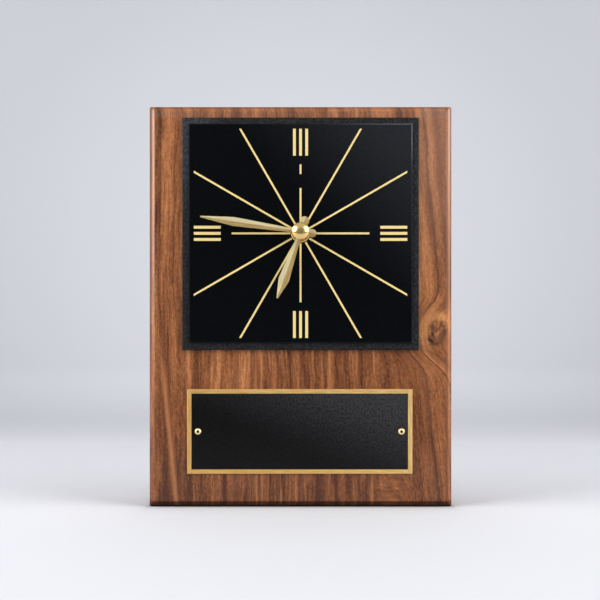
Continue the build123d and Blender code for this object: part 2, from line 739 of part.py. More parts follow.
def seconds_wheel():
    """Seconds wheel and pinion, whose front pivot runs in the minute arbor."""
    part = inside(gear(SECONDS_TEETH, SECONDS_MODULE), SECONDS_LAYER, SECONDS_LAYER + WHEEL_FACE)
    part += inside(gear(SECONDS_LEAVES, THIRD_MODULE), THIRD_LAYER - END_PLAY, SECONDS_LAYER)
    part += inside(Circle(ARBOR_RADIUS), ARBOR_END + END_PLAY, BRIDGE_LAYER - END_PLAY)
    pivot_end = BRIDGE_LAYER + BRIDGE_THICKNESS
    return part + inside(Circle(PIVOT_RADIUS), MOTION_LAYER + END_PLAY, pivot_end)


def intermediate_wheel():
    """Intermediate wheel with the pinion that drives the seconds wheel."""
    phase = meshed(INTERMEDIATE_ANGLE, INTERMEDIATE_LEAVES, SECONDS_TEETH)
    wheel = gear(INTERMEDIATE_TEETH, ROTOR_MODULE)
    part = inside(wheel, INTERMEDIATE_LAYER, INTERMEDIATE_LAYER + WHEEL_FACE)
    pinion = gear(INTERMEDIATE_LEAVES, SECONDS_MODULE, phase)
    part += inside(pinion, SECONDS_LAYER - END_PLAY, INTERMEDIATE_LAYER)
    return at(INTERMEDIATE) * part + train_arbor(INTERMEDIATE)


def rotor_pinion():
    """Pinion and spindle of the stepping motor."""
    phase = meshed(ROTOR_ANGLE, ROTOR_LEAVES, INTERMEDIATE_TEETH)
    pinion = gear(ROTOR_LEAVES, ROTOR_MODULE, phase)
    leaves = inside(pinion, INTERMEDIATE_LAYER - END_PLAY, BRIDGE_LAYER - END_PLAY)
    return at(ROTOR) * leaves + train_arbor(ROTOR)


def rotor_magnet():
    """Ring magnet on the rotor spindle."""
    outline = ring(MAGNET_RADIUS, ARBOR_RADIUS + SEAT_FIT)
    return at(ROTOR) * inside(outline, MAGNET_LAYER, MAGNET_LAYER + MAGNET_LENGTH)


# Motor and electronics
def stator_holes(outline):
    """Outline with the two screw holes of the motor."""
    for place in STATOR_HOLES:
        outline -= at(place) * Circle(SCREW_RADIUS + SEAT_FIT)
    return outline


def stator():
    """Motor plate: a bar with the rotor hole and two arms that reach the coil."""
    right = ROTOR[0] + STATOR_SIDE
    left = COIL_PLACE - CORE_WIDTH / 2
    outline = span(left, right, STATOR_BOTTOM, STATOR_TOP)
    window_right = ROTOR[0] - STATOR_SIDE
    outline -= span(left, window_right, STATOR_BOTTOM + STATOR_ARM, STATOR_TOP - STATOR_ARM)
    outline -= at(ROTOR) * Circle(MAGNET_RADIUS + MAGNET_GAP)
    return inside(stator_holes(outline), STATOR_LAYER, CORE_LAYER)


def core_outline(gap=0.0):
    """Strip of the coil core, widened by a gap where something fits round it."""
    half = CORE_WIDTH / 2 + gap
    return span(COIL_PLACE - half, COIL_PLACE + half, STATOR_BOTTOM, STATOR_TOP)


def coil_core():
    """Iron strip that joins the two arms through the coil."""
    return inside(stator_holes(core_outline()), CORE_LAYER, CORE_LAYER + STATOR_THICKNESS)


def coil_section(width, thickness):
    """Rounded cut across the coil, in a plane square to its length."""
    middle = CASE_FRONT - CORE_LAYER - STATOR_THICKNESS / 2
    across = Plane(origin=(COIL_PLACE, 0, middle), x_dir=(1, 0, 0), z_dir=(0, 1, 0))
    return across * RectangleRounded(width, thickness, BOBBIN_CORNER)


def coil_length(outline, start, end):
    """Cut across the coil carried along its length."""
    return extrude(Pos(0, start, 0) * outline, end - start, dir=(0, 1, 0))


def coil_ends():
    """Lower and upper end of the bobbin, between the stator's arms."""
    gap = STATOR_ARM + COIL_END_GAP
    return STATOR_BOTTOM + gap, STATOR_TOP - gap


def bobbin_tube():
    """Outline of the bobbin's tube round the core."""
    width = CORE_WIDTH + 2 * (BOBBIN_WALL + SEAT_FIT)
    return coil_section(width, STATOR_THICKNESS + 2 * (BOBBIN_WALL + SEAT_FIT))


def coil_bobbin():
    """Plastic former with two end flanges."""
    low, high = coil_ends()
    flange = coil_section(BOBBIN_SIDE, BOBBIN_SIDE)
    part = coil_length(bobbin_tube(), low, high)
    part += coil_length(flange, low, low + BOBBIN_WALL)
    part += coil_length(flange, high - BOBBIN_WALL, high)
    core = core_outline(SEAT_FIT)
    return part - inside(core, CORE_LAYER - SEAT_FIT, CORE_LAYER + STATOR_THICKNESS + SEAT_FIT)


def coil_winding():
    """Copper winding between the flanges."""
    low, high = coil_ends()
    size = BOBBIN_SIDE - 2 * WINDING_STEP
    winding = coil_length(coil_section(size, size), low + BOBBIN_WALL, high - BOBBIN_WALL)
    return winding - coil_length(bobbin_tube(), low, high)


def screw(seat):
    """Slotted screw whose head rests at a depth behind the case front."""
    head = inside(Circle(SCREW_HEAD_RADIUS), seat, seat + SCREW_HEAD)
    slot = Rectangle(2 * SCREW_HEAD_RADIUS, SCREW_SLOT)
    head -= inside(slot, seat + SCREW_HEAD - SCREW_SLOT, seat + SCREW_HEAD)
    return head + inside(Circle(SCREW_RADIUS), seat - SCREW_LENGTH, seat)


def stator_screws():
    """Two screws through core and stator."""
    return Part() + [at(place) * screw(CORE_LAYER + STATOR_THICKNESS) for place in STATOR_HOLES]


def bridge_screws():
    """Three screws that hold the bridge on its pillars."""
    return Part() + [at(place) * screw(BRIDGE_LAYER + BRIDGE_THICKNESS) for place in PILLARS]


def train_bridge():
    """Plate with the rear pivot holes, screwed to three pillars."""
    pads = [at(place) * Circle(BRIDGE_PAD) for place in PILLARS]
    pivots = (CENTRE, THIRD, INTERMEDIATE, ROTOR)
    pads += [at(place) * Circle(PIVOT_PAD) for place in pivots]
    outline = make_hull([edge for pad in pads for edge in pad.edges()])
    for place in pivots:
        outline -= at(place) * Circle(PIVOT_RADIUS + RUNNING_FIT)
    for place in PILLARS:
        outline -= at(place) * Circle(SCREW_RADIUS + SEAT_FIT)
    return inside(outline, BRIDGE_LAYER, BRIDGE_LAYER + BRIDGE_THICKNESS)


def circuit_posts():
    """Two posts under the ends of the circuit board."""
    reach = ROOM_HALF_WIDTH - CIRCUIT_POST_INSET
    return [(side * reach, circuit_middle()) for side in (-1, 1)]


def circuit_middle():
    """Height of the circuit board's middle line."""
    return (CIRCUIT_BOTTOM + CIRCUIT_TOP) / 2


def circuit_board():
    """Narrow board above the motor, located on the top pillar."""
    half = ROOM_HALF_WIDTH - CIRCUIT_EDGE
    outline = span(-half, half, CIRCUIT_BOTTOM, CIRCUIT_TOP)
    outline -= at(TOP_PILLAR) * Circle(PILLAR_RADIUS + HOLE_CLEARANCE)
    return inside(outline, CIRCUIT_LAYER, CIRCUIT_LAYER + CIRCUIT_THICKNESS)


def quartz_crystal():
    """Metal can of the crystal, lying on the circuit board."""
    height = CASE_FRONT - CIRCUIT_LAYER - CIRCUIT_THICKNESS - CRYSTAL_RADIUS
    can = Rot(0, 90, 0) * Cylinder(CRYSTAL_RADIUS, CRYSTAL_LENGTH)
    return Pos(CRYSTAL_PLACE, circuit_middle(), height) * can


def circuit_chip():
    """Resin blob over the chip."""
    back = dome(CHIP_RADIUS, CHIP_HEIGHT, 0)
    height = CASE_FRONT - CIRCUIT_LAYER - CIRCUIT_THICKNESS
    return Pos(CHIP_PLACE, circuit_middle(), height) * (Rot(180, 0, 0) * back)


def leaf_contact(side):
    """Leaf strip: a bow that presses on the cell's end and a leg up to the circuit board."""
    wall = ROOM_HALF_WIDTH - CONTACT_THICKNESS / 2
    bow = CELL_LENGTH / 2 + CONTACT_GAP + CONTACT_THICKNESS / 2
    path = Polyline(
        (side * wall, CIRCUIT_BOTTOM + CIRCUIT_HEIGHT / 4),
        (side * wall, BAY_TOP - CONTACT_SPACE),
        (side * bow, CELL_AXIS + CONTACT_FLAT / 2),
        (side * bow, CELL_AXIS - CONTACT_FLAT / 2),
        (side * wall, BAY_BOTTOM + CONTACT_SPACE),
    )
    return inside(trace(path, CONTACT_THICKNESS), CIRCUIT_LAYER - CONTACT_WIDTH, CIRCUIT_LAYER)


def positive_contact():
    """Leaf strip at the raised end of the cell."""
    return leaf_contact(1)


def negative_contact():
    """Leaf strip at the flat end of the cell."""
    return leaf_contact(-1)


def battery_cell():
    """Standard cylindrical cell with a raised contact at its right end."""
    can_length = CELL_LENGTH - NUB_LENGTH
    can = Cylinder(CELL_RADIUS, can_length, align=(Align.CENTER, Align.CENTER, Align.MIN))
    can = chamfer(can.edges().filter_by(GeomType.CIRCLE), CELL_EASE)
    nub = Cylinder(NUB_RADIUS, CELL_LENGTH, align=(Align.CENTER, Align.CENTER, Align.MIN))
    lying = Rot(0, 90, 0) * (can + nub)
    return Pos(-CELL_LENGTH / 2, CELL_AXIS, CASE_FRONT - CELL_LAYER) * lying


# Movement housing
def case_outline():
    """Outer outline of the movement."""
    middle = (CASE_TOP + CASE_BOTTOM) / 2
    outline = RectangleRounded(2 * CASE_HALF_WIDTH, CASE_TOP - CASE_BOTTOM, CASE_CORNER)
    return at((0, middle)) * outline


def snap_tabs(width, thickness, reach, start, end):
    """Four blocks against the walls: one on each side and two under the top wall."""
    half = width / 2
    inner = ROOM_HALF_WIDTH + reach - thickness
    outer = ROOM_HALF_WIDTH + reach
    tabs = [
        inside(span(inner, outer, SIDE_TAB_HEIGHT - half, SIDE_TAB_HEIGHT + half), start, end),
        inside(span(-outer, -inner, SIDE_TAB_HEIGHT - half, SIDE_TAB_HEIGHT + half), start, end),
    ]
    low = ROOM_TOP + reach - thickness
    high = ROOM_TOP + reach
    for place in (-TOP_TAB_SPREAD, TOP_TAB_SPREAD):
        tabs.append(inside(span(place - half, place + half, low, high), start, end))
    return tabs


def movement_case():
    """Front shell: train room, battery bay, pillars, posts and pivot holes."""
    half = ROOM_HALF_WIDTH
    case = inside(case_outline(), 0, CASE_DEPTH)
    case -= inside(span(-half, half, ROOM_BOTTOM, ROOM_TOP), FRONT_WALL, CASE_DEPTH)
    case -= inside(span(-half, half, BAY_BOTTOM, BAY_TOP), BAY_FLOOR, CASE_DEPTH)
    case -= inside(span(-2 * half, 2 * half, BAY_TOP, 2 * CASE_TOP), COVER_LAYER, CASE_DEPTH)
    leg = CONTACT_THICKNESS + CONTACT_NOTCH
    for left, right in ((-half, leg - half), (half - leg, half)):
        case -= inside(span(left, right, BAY_TOP, ROOM_BOTTOM), FRONT_WALL, COVER_LAYER)
    shoulder = Circle(PILLAR_RADIUS + PILLAR_SHOULDER)
    case += inside(at(TOP_PILLAR) * shoulder, FRONT_WALL, CIRCUIT_LAYER)
    for place in PILLARS:
        case += inside(at(place) * Circle(PILLAR_RADIUS), FRONT_WALL, BRIDGE_LAYER)
    for place in STATOR_HOLES:
        case += inside(at(place) * Circle(PILLAR_RADIUS), FRONT_WALL, STATOR_LAYER)
    for place in circuit_posts():
        case += inside(at(place) * Circle(CIRCUIT_POST_RADIUS), FRONT_WALL, CIRCUIT_LAYER)
    case += inside(at(MOTION) * Circle(STUD_COLLAR_RADIUS), FRONT_WALL, HOUR_LAYER - END_PLAY)
    case += inside(at(MOTION) * Circle(STUD_RADIUS), FRONT_WALL, CENTRE_LAYER - LAYER_GAP / 2)
    lip = span(-LIP_LENGTH / 2, LIP_LENGTH / 2, BAY_BOTTOM, BAY_BOTTOM + LIP_REACH)
    case += inside(lip, CASE_DEPTH - LIP_DEPTH, CASE_DEPTH)
    case -= inside(Circle(BUSH_RADIUS + SEAT_FIT), 0, FRONT_WALL)
    for place in (THIRD, INTERMEDIATE, ROTOR, SETTING):
        hole = at(place) * Circle(PIVOT_RADIUS + RUNNING_FIT)
        case -= inside(hole, FRONT_WALL - PIVOT_DEPTH, FRONT_WALL)
    thread = Circle(SCREW_RADIUS + SEAT_FIT)
    for place in PILLARS:
        case -= inside(at(place) * thread, BRIDGE_LAYER + BRIDGE_THICKNESS - SCREW_LENGTH, BRIDGE_LAYER)
    for place in STATOR_HOLES:
        case -= inside(
            at(place) * thread, CORE_LAYER + STATOR_THICKNESS - SCREW_LENGTH, STATOR_LAYER
        )
    barb_front = COVER_LAYER - TAB_LENGTH
    window_end = barb_front + TAB_BARB_HEIGHT + TAB_GAP
    window_width = TAB_WIDTH + 2 * TAB_GAP
    for window in snap_tabs(window_width, CASE_WALL, CASE_WALL, barb_front - TAB_GAP, window_end):
        case -= window
    return case


def movement_cover():
    """Rear cover with four snap tabs and the hole for the setting arbor."""
    area = span(-CASE_HALF_WIDTH, CASE_HALF_WIDTH, BAY_TOP, CASE_TOP)
    outline = (case_outline() & area) - at(SETTING) * Circle(SETTING_RADIUS + RUNNING_FIT)
    cover = inside(outline, COVER_LAYER, CASE_DEPTH)
    barb_front = COVER_LAYER - TAB_LENGTH
    for tab in snap_tabs(TAB_WIDTH, TAB_THICKNESS, -TAB_GAP, barb_front, COVER_LAYER):
        cover += tab
    barb_end = barb_front + TAB_BARB_HEIGHT
    barb_depth = TAB_THICKNESS + TAB_GAP + TAB_BARB
    for barb in snap_tabs(TAB_WIDTH, barb_depth, TAB_BARB, barb_front, barb_end):
        cover += barb
    return cover


CLOCKWORK = (
    dial_backing,
    dial_plate,
    hour_markers,
    engraving_plate,
    plate_enamel,
    plate_pins,
    nut_washer,
    mounting_nut,
    hour_hand,
    minute_hand,
    cap_nut,
    threaded_bush,
    rubber_washer,
    hour_wheel,
    minute_arbor,
    clutch_spring,
    centre_wheel,
    motion_wheel,
    setting_arbor,
    setting_knob,
    third_wheel,
    seconds_wheel,
    intermediate_wheel,
    rotor_pinion,
    rotor_magnet,
    stator,
    coil_core,
    coil_bobbin,
    coil_winding,
    stator_screws,
    train_bridge,
    bridge_screws,
    circuit_board,
    quartz_crystal,
    circuit_chip,
    positive_contact,
    negative_contact,
    battery_cell,
    movement_case,
    movement_cover,
)

os.makedirs("parts", exist_ok=True)
export_step(walnut_board(), "parts/walnut_board.step")
for piece in CLOCKWORK:
    export_step(FRONT * piece(), f"parts/{piece.__name__}.step")
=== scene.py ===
# %% [markdown]
# # A walnut desk clock, dressed for the camera
# The clock is a thick walnut board with a black square dial, two gold hands and a black plate under them.
# Its solids arrive ready made, at their real size and in their real place, so nothing here is moved or
# fitted. This lesson gives each solid its finish, and makes anew only the pieces whose roundings have to
# catch the light without a facet showing.

# %% Load the solids
import json
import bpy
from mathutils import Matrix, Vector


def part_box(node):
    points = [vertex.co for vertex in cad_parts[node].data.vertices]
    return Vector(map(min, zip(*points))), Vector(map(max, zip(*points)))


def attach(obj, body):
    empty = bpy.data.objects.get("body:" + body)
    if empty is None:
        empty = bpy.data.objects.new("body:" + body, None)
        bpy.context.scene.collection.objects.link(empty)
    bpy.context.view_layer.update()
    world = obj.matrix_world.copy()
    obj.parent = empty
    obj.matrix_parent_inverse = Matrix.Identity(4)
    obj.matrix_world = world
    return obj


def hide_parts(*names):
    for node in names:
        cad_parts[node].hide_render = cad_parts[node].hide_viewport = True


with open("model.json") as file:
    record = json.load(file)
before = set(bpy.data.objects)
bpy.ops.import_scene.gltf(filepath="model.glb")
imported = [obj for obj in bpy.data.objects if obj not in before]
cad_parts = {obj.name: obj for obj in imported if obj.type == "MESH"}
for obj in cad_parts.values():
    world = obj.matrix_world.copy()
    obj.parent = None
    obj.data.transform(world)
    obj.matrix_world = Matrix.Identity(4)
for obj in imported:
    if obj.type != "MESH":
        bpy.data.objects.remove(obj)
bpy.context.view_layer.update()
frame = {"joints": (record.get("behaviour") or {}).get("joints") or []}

from types import SimpleNamespace

import bpy
import numpy as np
from mathutils import Vector

# %% [markdown]
# Every measure below comes from the solids themselves. A node's box gives its lowest and highest corner,
# and a joint gives the axis on which the hands turn. Shapes are worked out in millimetres, in a frame that
# suits a clock: across to the right, up, and forward out of the board. One function turns such points
# into Blender's metres.

# %% Measure the board and the dial
MM = 0.001


def node_box(name):
    """Lowest and highest corner of a node, in millimetres."""
    low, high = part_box(name)
    return np.array(low) / MM, np.array(high) / MM


def joint_place(name):
    """Point on a joint's axis, in millimetres."""
    return np.array(next(j["pos_m"] for j in frame["joints"] if j["name"] == name)) / MM


board_low, board_high = node_box("walnut_board")
BOARD_FRONT = board_low[1]
BOARD_DEPTH = board_high[1] - board_low[1]
DIAL_HEIGHT = joint_place("minute_turn")[2]


def to_world(across, up, forward):
    """Metres from millimetres: x = across, y = board front - forward, z = up."""
    across, up, forward = np.broadcast_arrays(across, up, forward)
    return np.stack([across, BOARD_FRONT - forward, up], axis=-1) * MM


print("board", np.round(board_high - board_low, 2), "mm, dial centre at", round(DIAL_HEIGHT, 2))

# %% [markdown]
# A new piece is a stack of closed rings, like hoops on a barrel: each ring is a row of points, and faces
# join it to the next. The ends of a stack close in a fan of triangles, or the last ring joins the first, as
# on a tyre. The signed volume of the finished skin tells whether its faces look outwards, and the whole
# stack is turned over if they don't. A drum of two square rings tries it out.

# %% Join rings into a skin
def ring_faces(rows, columns, closed):
    """Four corners of each face between ring r and r + 1, and column c and c + 1, counted round."""
    row, column = np.meshgrid(np.arange(rows if closed else rows - 1), np.arange(columns), indexing="ij")
    below, above = row * columns, (row + 1) % rows * columns
    ahead = (column + 1) % columns
    return np.stack([below + column, below + ahead, above + ahead, above + column], axis=-1).reshape(-1, 4)


def fan_faces(ring_start, columns, pole, turned_over):
    """Triangles from each side of a ring to one pole."""
    here = ring_start + np.arange(columns)
    ahead = ring_start + (np.arange(columns) + 1) % columns
    sides = (here, ahead) if turned_over else (ahead, here)
    return np.stack([*sides, np.full(columns, pole)], axis=-1)


def skin(rings, closed):
    """Points and faces of one stack, turned over if its volume, the sum of a . (b x c), is negative."""
    rows, columns = rings.shape[:2]
    points = rings.reshape(-1, 3)
    faces = [ring_faces(rows, columns, closed)]
    if not closed:
        points = np.concatenate([points, rings[[0, -1]].mean(axis=1)])
        faces.append(fan_faces(0, columns, rows * columns, False))
        faces.append(fan_faces((rows - 1) * columns, columns, rows * columns + 1, True))
    corners = np.concatenate([face[:, [0, k, k + 1]] for face in faces for k in range(1, face.shape[1] - 1)])
    first, second, third = (points[corners[:, k]] for k in range(3))
    if np.einsum("ij,ij->i", first, np.cross(second, third)).sum() < 0:
        faces = [face[:, ::-1] for face in faces]
    return points, faces


drum = np.array([[[1, 0, up], [0, 1, up], [-1, 0, up], [0, -1, up]] for up in (0.0, 1.0)])
print("a drum of two square rings has", sum(len(group) for group in skin(drum, False)[1]), "faces")

# %% [markdown]
# The skins of a piece become one mesh. Smooth shading hides the small steps of a curve, while edges past a
# set angle stay crisp, as they do on planed wood and turned metal. Each piece then says on which body of the
# clock it rides and which solid it stands for.

# %% Make a piece from its skins
SHARP_ANGLE = np.radians(28)


def make_piece(name, stacks, body, slot, *replaced, closed=False):
    """One mesh of several stacks, shaded smooth up to a sharp angle, riding on a body of the clock."""
    points, faces, start = [], [], 0
    for rings in stacks:
        skin_points, skin_faces = skin(rings, closed)
        points.append(skin_points)
        faces += [corner for face in skin_faces for corner in (face + start).tolist()]
        start += len(skin_points)
    mesh = bpy.data.meshes.new(name)
    mesh.from_pydata(np.concatenate(points), [], faces)
    mesh.shade_smooth()
    mesh.set_sharp_from_angle(angle=SHARP_ANGLE)
    made = bpy.data.objects.new(name, mesh)
    bpy.context.scene.collection.objects.link(made)
    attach(made, body)
    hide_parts(*replaced)
    print(name, len(mesh.polygons), "faces, stands for", ", ".join(replaced))


print("edges past", round(np.degrees(SHARP_ANGLE)), "degrees stay sharp")

# %% [markdown]
# The board is one plank whose front edge is planed off at 45 degrees, with the sharp edges taken down by
# sandpaper. Those small rounds help to draw the bright lines along both sides in the photograph. A Bevel
# modifier could make them, but each edge here has a round of its own size, so the profile is worked out as
# arcs: how far in from the outline, and how deep behind the front.

# %% Draw the board's profile
BEVEL = 3.0
BEVEL_EASE = 0.8
BACK_EASE = 1.0
EASE_STEPS = 7


def ease(start, end):
    """Sine and cosine along an arc, for a rounded edge."""
    turn = np.radians(np.linspace(start, end, EASE_STEPS))
    return np.sin(turn), np.cos(turn)


def board_profile():
    """Inset and depth along the outside: eased bevel at the front, straight side, eased back edge."""
    tangent = BEVEL_EASE * np.tan(np.radians(22.5))
    sine, cosine = ease(0, 45)
    face_edge = np.stack([BEVEL + tangent - BEVEL_EASE * sine, BEVEL_EASE * (1 - cosine)], axis=-1)
    sine, cosine = ease(45, 90)
    side_edge = np.stack([BEVEL_EASE * (1 - sine), BEVEL + tangent - BEVEL_EASE * cosine], axis=-1)
    sine, cosine = ease(0, 90)
    back_edge = np.stack([BACK_EASE * (1 - cosine), BOARD_DEPTH - BACK_EASE * (1 - sine)], axis=-1)
    return np.concatenate([face_edge, side_edge, back_edge])


print("the profile has", len(board_profile()), "points")

# %% [markdown]
# The profile is carried round the board's outline, a rectangle with small round corners, as a stack of
# rings. The stack goes on over the back, down the wall of the movement's pocket and through the hole for
# the bush to the front again. As it meets itself there, the board is closed without any fan.

# %% Carry the profile round the board
OUTLINE_CORNER = 1.0
LEAST_CORNER = 0.02
CORNER_STEPS = 9
RIM_EASE = 0.4
WEB = 6.35
POCKET_CORNER = 6.0
POCKET_GAP = 3.0
HOLE_RADIUS = 3.7


def rounded_outline(half_width, half_height, radius, middle):
    """Rectangle with round corners: corner centre + radius * (cos, sin), a quarter turn at each corner."""
    turn = np.radians(np.linspace(0, 90, CORNER_STEPS) + np.array([[0], [90], [180], [270]]))
    sign = np.array([[1, 1], [-1, 1], [-1, -1], [1, -1]])
    centre = sign * np.array([half_width - radius, half_height - radius]) + np.array([0, middle])
    return (centre[:, None] + radius * np.stack([np.cos(turn), np.sin(turn)], axis=-1)).reshape(-1, 2)


def pocket_rings():
    """Rings of the pocket's eased rim, and of its wall down to the web behind the front."""
    case_low, case_high = node_box("movement_case")
    half = (case_high - case_low) / 2 + POCKET_GAP
    middle = (case_high + case_low)[2] / 2
    sine, cosine = ease(0, 90)
    rim = zip(RIM_EASE * (1 - sine), BOARD_DEPTH - RIM_EASE * (1 - cosine))
    rings = []
    for spread, depth in [*rim, (0.0, WEB)]:
        outline = rounded_outline(half[0] + spread, half[2] + spread, POCKET_CORNER + spread, middle)
        rings.append(to_world(*outline.T, -depth))
    return rings


def board_rings():
    """Front face, bevel, side, back face, pocket and bush hole, in one closed stack."""
    half_width, half_height = board_high[0], board_high[2] / 2
    rings = []
    for inset, depth in board_profile():
        corner = max(OUTLINE_CORNER - inset, LEAST_CORNER)
        outline = rounded_outline(half_width - inset, half_height - inset, corner, half_height)
        rings.append(to_world(*outline.T, -depth))
    front = rounded_outline(half_width, half_height, OUTLINE_CORNER, half_height) - [0, DIAL_HEIGHT]
    hole = HOLE_RADIUS * front / np.linalg.norm(front, axis=1, keepdims=True) + [0, DIAL_HEIGHT]
    return np.stack([*rings, *pocket_rings(), to_world(*hole.T, -WEB), to_world(*hole.T, 0.0)])


make_piece("board", [board_rings()], "clock_body", "walnut", "walnut_board", closed=True)

# %% [markdown]
# Turned pieces are a profile swung round an axis: radius and height along the profile, times cosine and
# sine round the axis. The cap nut is a polished dome of brass that holds the minute hand. Every lamp shows
# in it, so its profile is a true arc and not the few facets of the solid.

# %% Turn the cap nut
TURN_STEPS = 96
CAP_BORE, CAP_DOME, CAP_STEPS = 1.55, 2.1, 48


def turned(profile, centre, steps):
    """Surface of revolution: across = r cos a, up = r sin a, forward = h, about a point of the front."""
    angle = np.linspace(0, 2 * np.pi, steps, endpoint=False)
    radius, height = np.array(profile).T[:, :, None]
    across = centre[0] + radius * np.cos(angle)
    up = centre[1] + radius * np.sin(angle)
    return to_world(across, up, height + 0 * angle)


def ball_cap(radius, base, height, steps):
    """Profile of a cap of a ball, from its rim to just short of its pole."""
    ball = (radius**2 + height**2) / (2 * height)
    tilt = np.linspace(np.arctan2(radius, ball - height), 0, steps + 1)[:-1]
    return [(ball * np.sin(a), base + height - ball + ball * np.cos(a)) for a in tilt]


def forward_of(y):
    """How far a place along y lies in front of the board."""
    return BOARD_FRONT - y


cap_low, cap_high = node_box("cap_nut")
cap_radius = (cap_high[0] - cap_low[0]) / 2
cap_back, cap_front = forward_of(cap_high[1]), forward_of(cap_low[1])
cap_profile = [(CAP_BORE, cap_back), (cap_radius, cap_back)]
cap_profile += ball_cap(cap_radius, cap_front - CAP_DOME, CAP_DOME, CAP_STEPS)
cap_rings = turned(cap_profile, (0.0, DIAL_HEIGHT), TURN_STEPS)
make_piece("cap", [cap_rings], "minute_group", "polished_brass", "cap_nut")

# %% [markdown]
# Two domed pins hold the plate. Each is a shank with a ball-shaped head, turned in the same way with fewer
# steps, because a head is only a few pixels wide. The pair is one node, so both go into one mesh.

# %% Turn the two pins
PIN_SHANK = 0.8
PIN_HEAD_HEIGHT = 0.9
PIN_LIP, PIN_RIM = 0.05, 0.02
PIN_STEPS, PIN_TURN_STEPS = 24, 48
pin_low, pin_high = node_box("plate_pins")
pin_head = (pin_high[2] - pin_low[2]) / 2
pin_seat = forward_of(pin_low[1]) - PIN_HEAD_HEIGHT
pin_profile = [(PIN_SHANK, forward_of(pin_high[1])), (PIN_SHANK, pin_seat), (pin_head - PIN_LIP, pin_seat)]
pin_profile += ball_cap(pin_head, pin_seat + PIN_RIM, PIN_HEAD_HEIGHT - PIN_RIM, PIN_STEPS)
pin_height = (pin_low[2] + pin_high[2]) / 2
pin_places = [(pin_low[0] + pin_head, pin_height), (pin_high[0] - pin_head, pin_height)]
pin_rings = [turned(pin_profile, place, PIN_TURN_STEPS) for place in pin_places]
make_piece("pins", pin_rings, "clock_body", "polished_brass", "plate_pins")

# %% [markdown]
# Finishes are node trees. Long trees are easier to read as sums than as boxes and noodles, so a small
# class holds one socket and lets Python's own signs add the Math nodes. Any other node comes from one
# method: its settings are set first, then values or links go into its sockets.

# %% Write shader sums in Python
def fill_ramp(ramp, stops):
    """Sets the stops of a colour ramp, given as place and colour."""
    while len(ramp.elements) < len(stops):
        ramp.elements.new(1.0)
    for element, (place, colour) in zip(ramp.elements, stops):
        element.position = place
        element.color = colour


class Wire:
    """One socket of a material, on which sums can be written."""

    def __init__(self, tree, socket=None):
        self.tree = tree
        self.socket = socket

    def connect(self, node, inputs):
        """Puts values or links into a node's sockets."""
        for key, value in inputs.items():
            if isinstance(value, Wire):
                self.tree.links.new(value.socket, node.inputs[key])
            else:
                node.inputs[key].default_value = value

    def node(self, kind, settings=None, inputs=None, output=0):
        """Adds a node and returns the wire of one of its outputs."""
        made = self.tree.nodes.new("ShaderNode" + kind)
        for key, value in (settings or {}).items():
            if key == "stops":
                fill_ramp(made.color_ramp, value)
            else:
                setattr(made, key, value)
        self.connect(made, inputs or {})
        return Wire(self.tree, made.outputs[output])

    def maths(self, operation, *values):
        """Adds a Math node, for the signs below and for roots, powers of e and limits."""
        return self.node("Math", {"operation": operation}, dict(enumerate(values)))

    def __add__(self, other):
        return self.maths("ADD", self, other)

    def __sub__(self, other):
        return self.maths("SUBTRACT", self, other)

    def __rsub__(self, other):
        return self.maths("SUBTRACT", other, self)

    def __mul__(self, other):
        return self.maths("MULTIPLY", self, other)

    def __truediv__(self, other):
        return self.maths("DIVIDE", self, other)

    def __rtruediv__(self, other):
        return self.maths("DIVIDE", other, self)

    __radd__ = __add__
    __rmul__ = __mul__

    def step(self, start, end):
        """Smooth step from 0 at start to 1 at end."""
        limits = {"Value": self, "From Min": start, "From Max": end}
        return self.node("MapRange", {"interpolation_type": "SMOOTHSTEP"}, limits)

    def bell(self, middle, width):
        """Bell curve: e to the power of -((value - middle) / width) squared."""
        share = (self - middle) / width
        return self.maths("EXPONENT", share * share * -1)

    def tint(self, low, high):
        """Colour between two colours, by this wire."""
        return self.node("Mix", {"data_type": "RGBA"}, {0: self, 6: low, 7: high}, output=2)


print("a wire knows", ", ".join(name for name in vars(Wire) if not name.startswith("_")))

# %% [markdown]
# Every finish starts with the same few nodes: a Principled shader, the place on the object in millimetres,
# noise read at that place, and a shallow bump. Real surfaces are never of one even colour, so each finish
# mixes its colours by such a noise. Colours are given as a picture shows them, from 0 to 255.

# %% Start a finish
def paint(red, green, blue):
    """Colour from the 0 to 255 values of a picture, in the linear values that shaders use."""
    share = np.array([red, green, blue]) / 255
    linear = np.where(share <= 0.04045, share / 12.92, ((share + 0.055) / 1.055) ** 2.4)
    return (*linear.tolist(), 1.0)


def socket_name(word):
    """Name of a shader's socket from a plain word: specular_ior_level is Specular IOR Level."""
    return word.replace("_", " ").title().replace("Ior", "IOR")


def start_finish(name, **sockets):
    """New material with one Principled shader, its fixed values set on its own sockets."""
    material = bpy.data.materials.new(name)
    material.use_nodes = True
    tree = material.node_tree
    shader = tree.nodes["Principled BSDF"]
    start = Wire(tree)
    start.connect(shader, {socket_name(key): value for key, value in sockets.items()})
    return material, shader, start


def millimetres(start):
    """The three coordinates of a point on the object, in millimetres."""
    place = start.node("TexCoord", output="Object")
    scaled = start.node("VectorMath", {"operation": "SCALE"}, {0: place, "Scale": 1 / MM})
    return [start.node("SeparateXYZ", {}, {0: scaled}, output=axis) for axis in range(3)]


def noise(start, x, y, z, detail=2.0, roughness=0.5):
    """Noise read at a point; the divisors give the size of its grain along each axis."""
    place = start.node("CombineXYZ", {}, {0: x, 1: y, 2: z})
    inputs = {"Vector": place, "Scale": 1.0, "Detail": detail, "Roughness": roughness}
    return start.node("TexNoise", {}, inputs)


def bump(start, height, depth, strength):
    """Bump of a given depth in millimetres."""
    return start.node("Bump", {}, {"Height": height, "Distance": depth * MM, "Strength": strength})


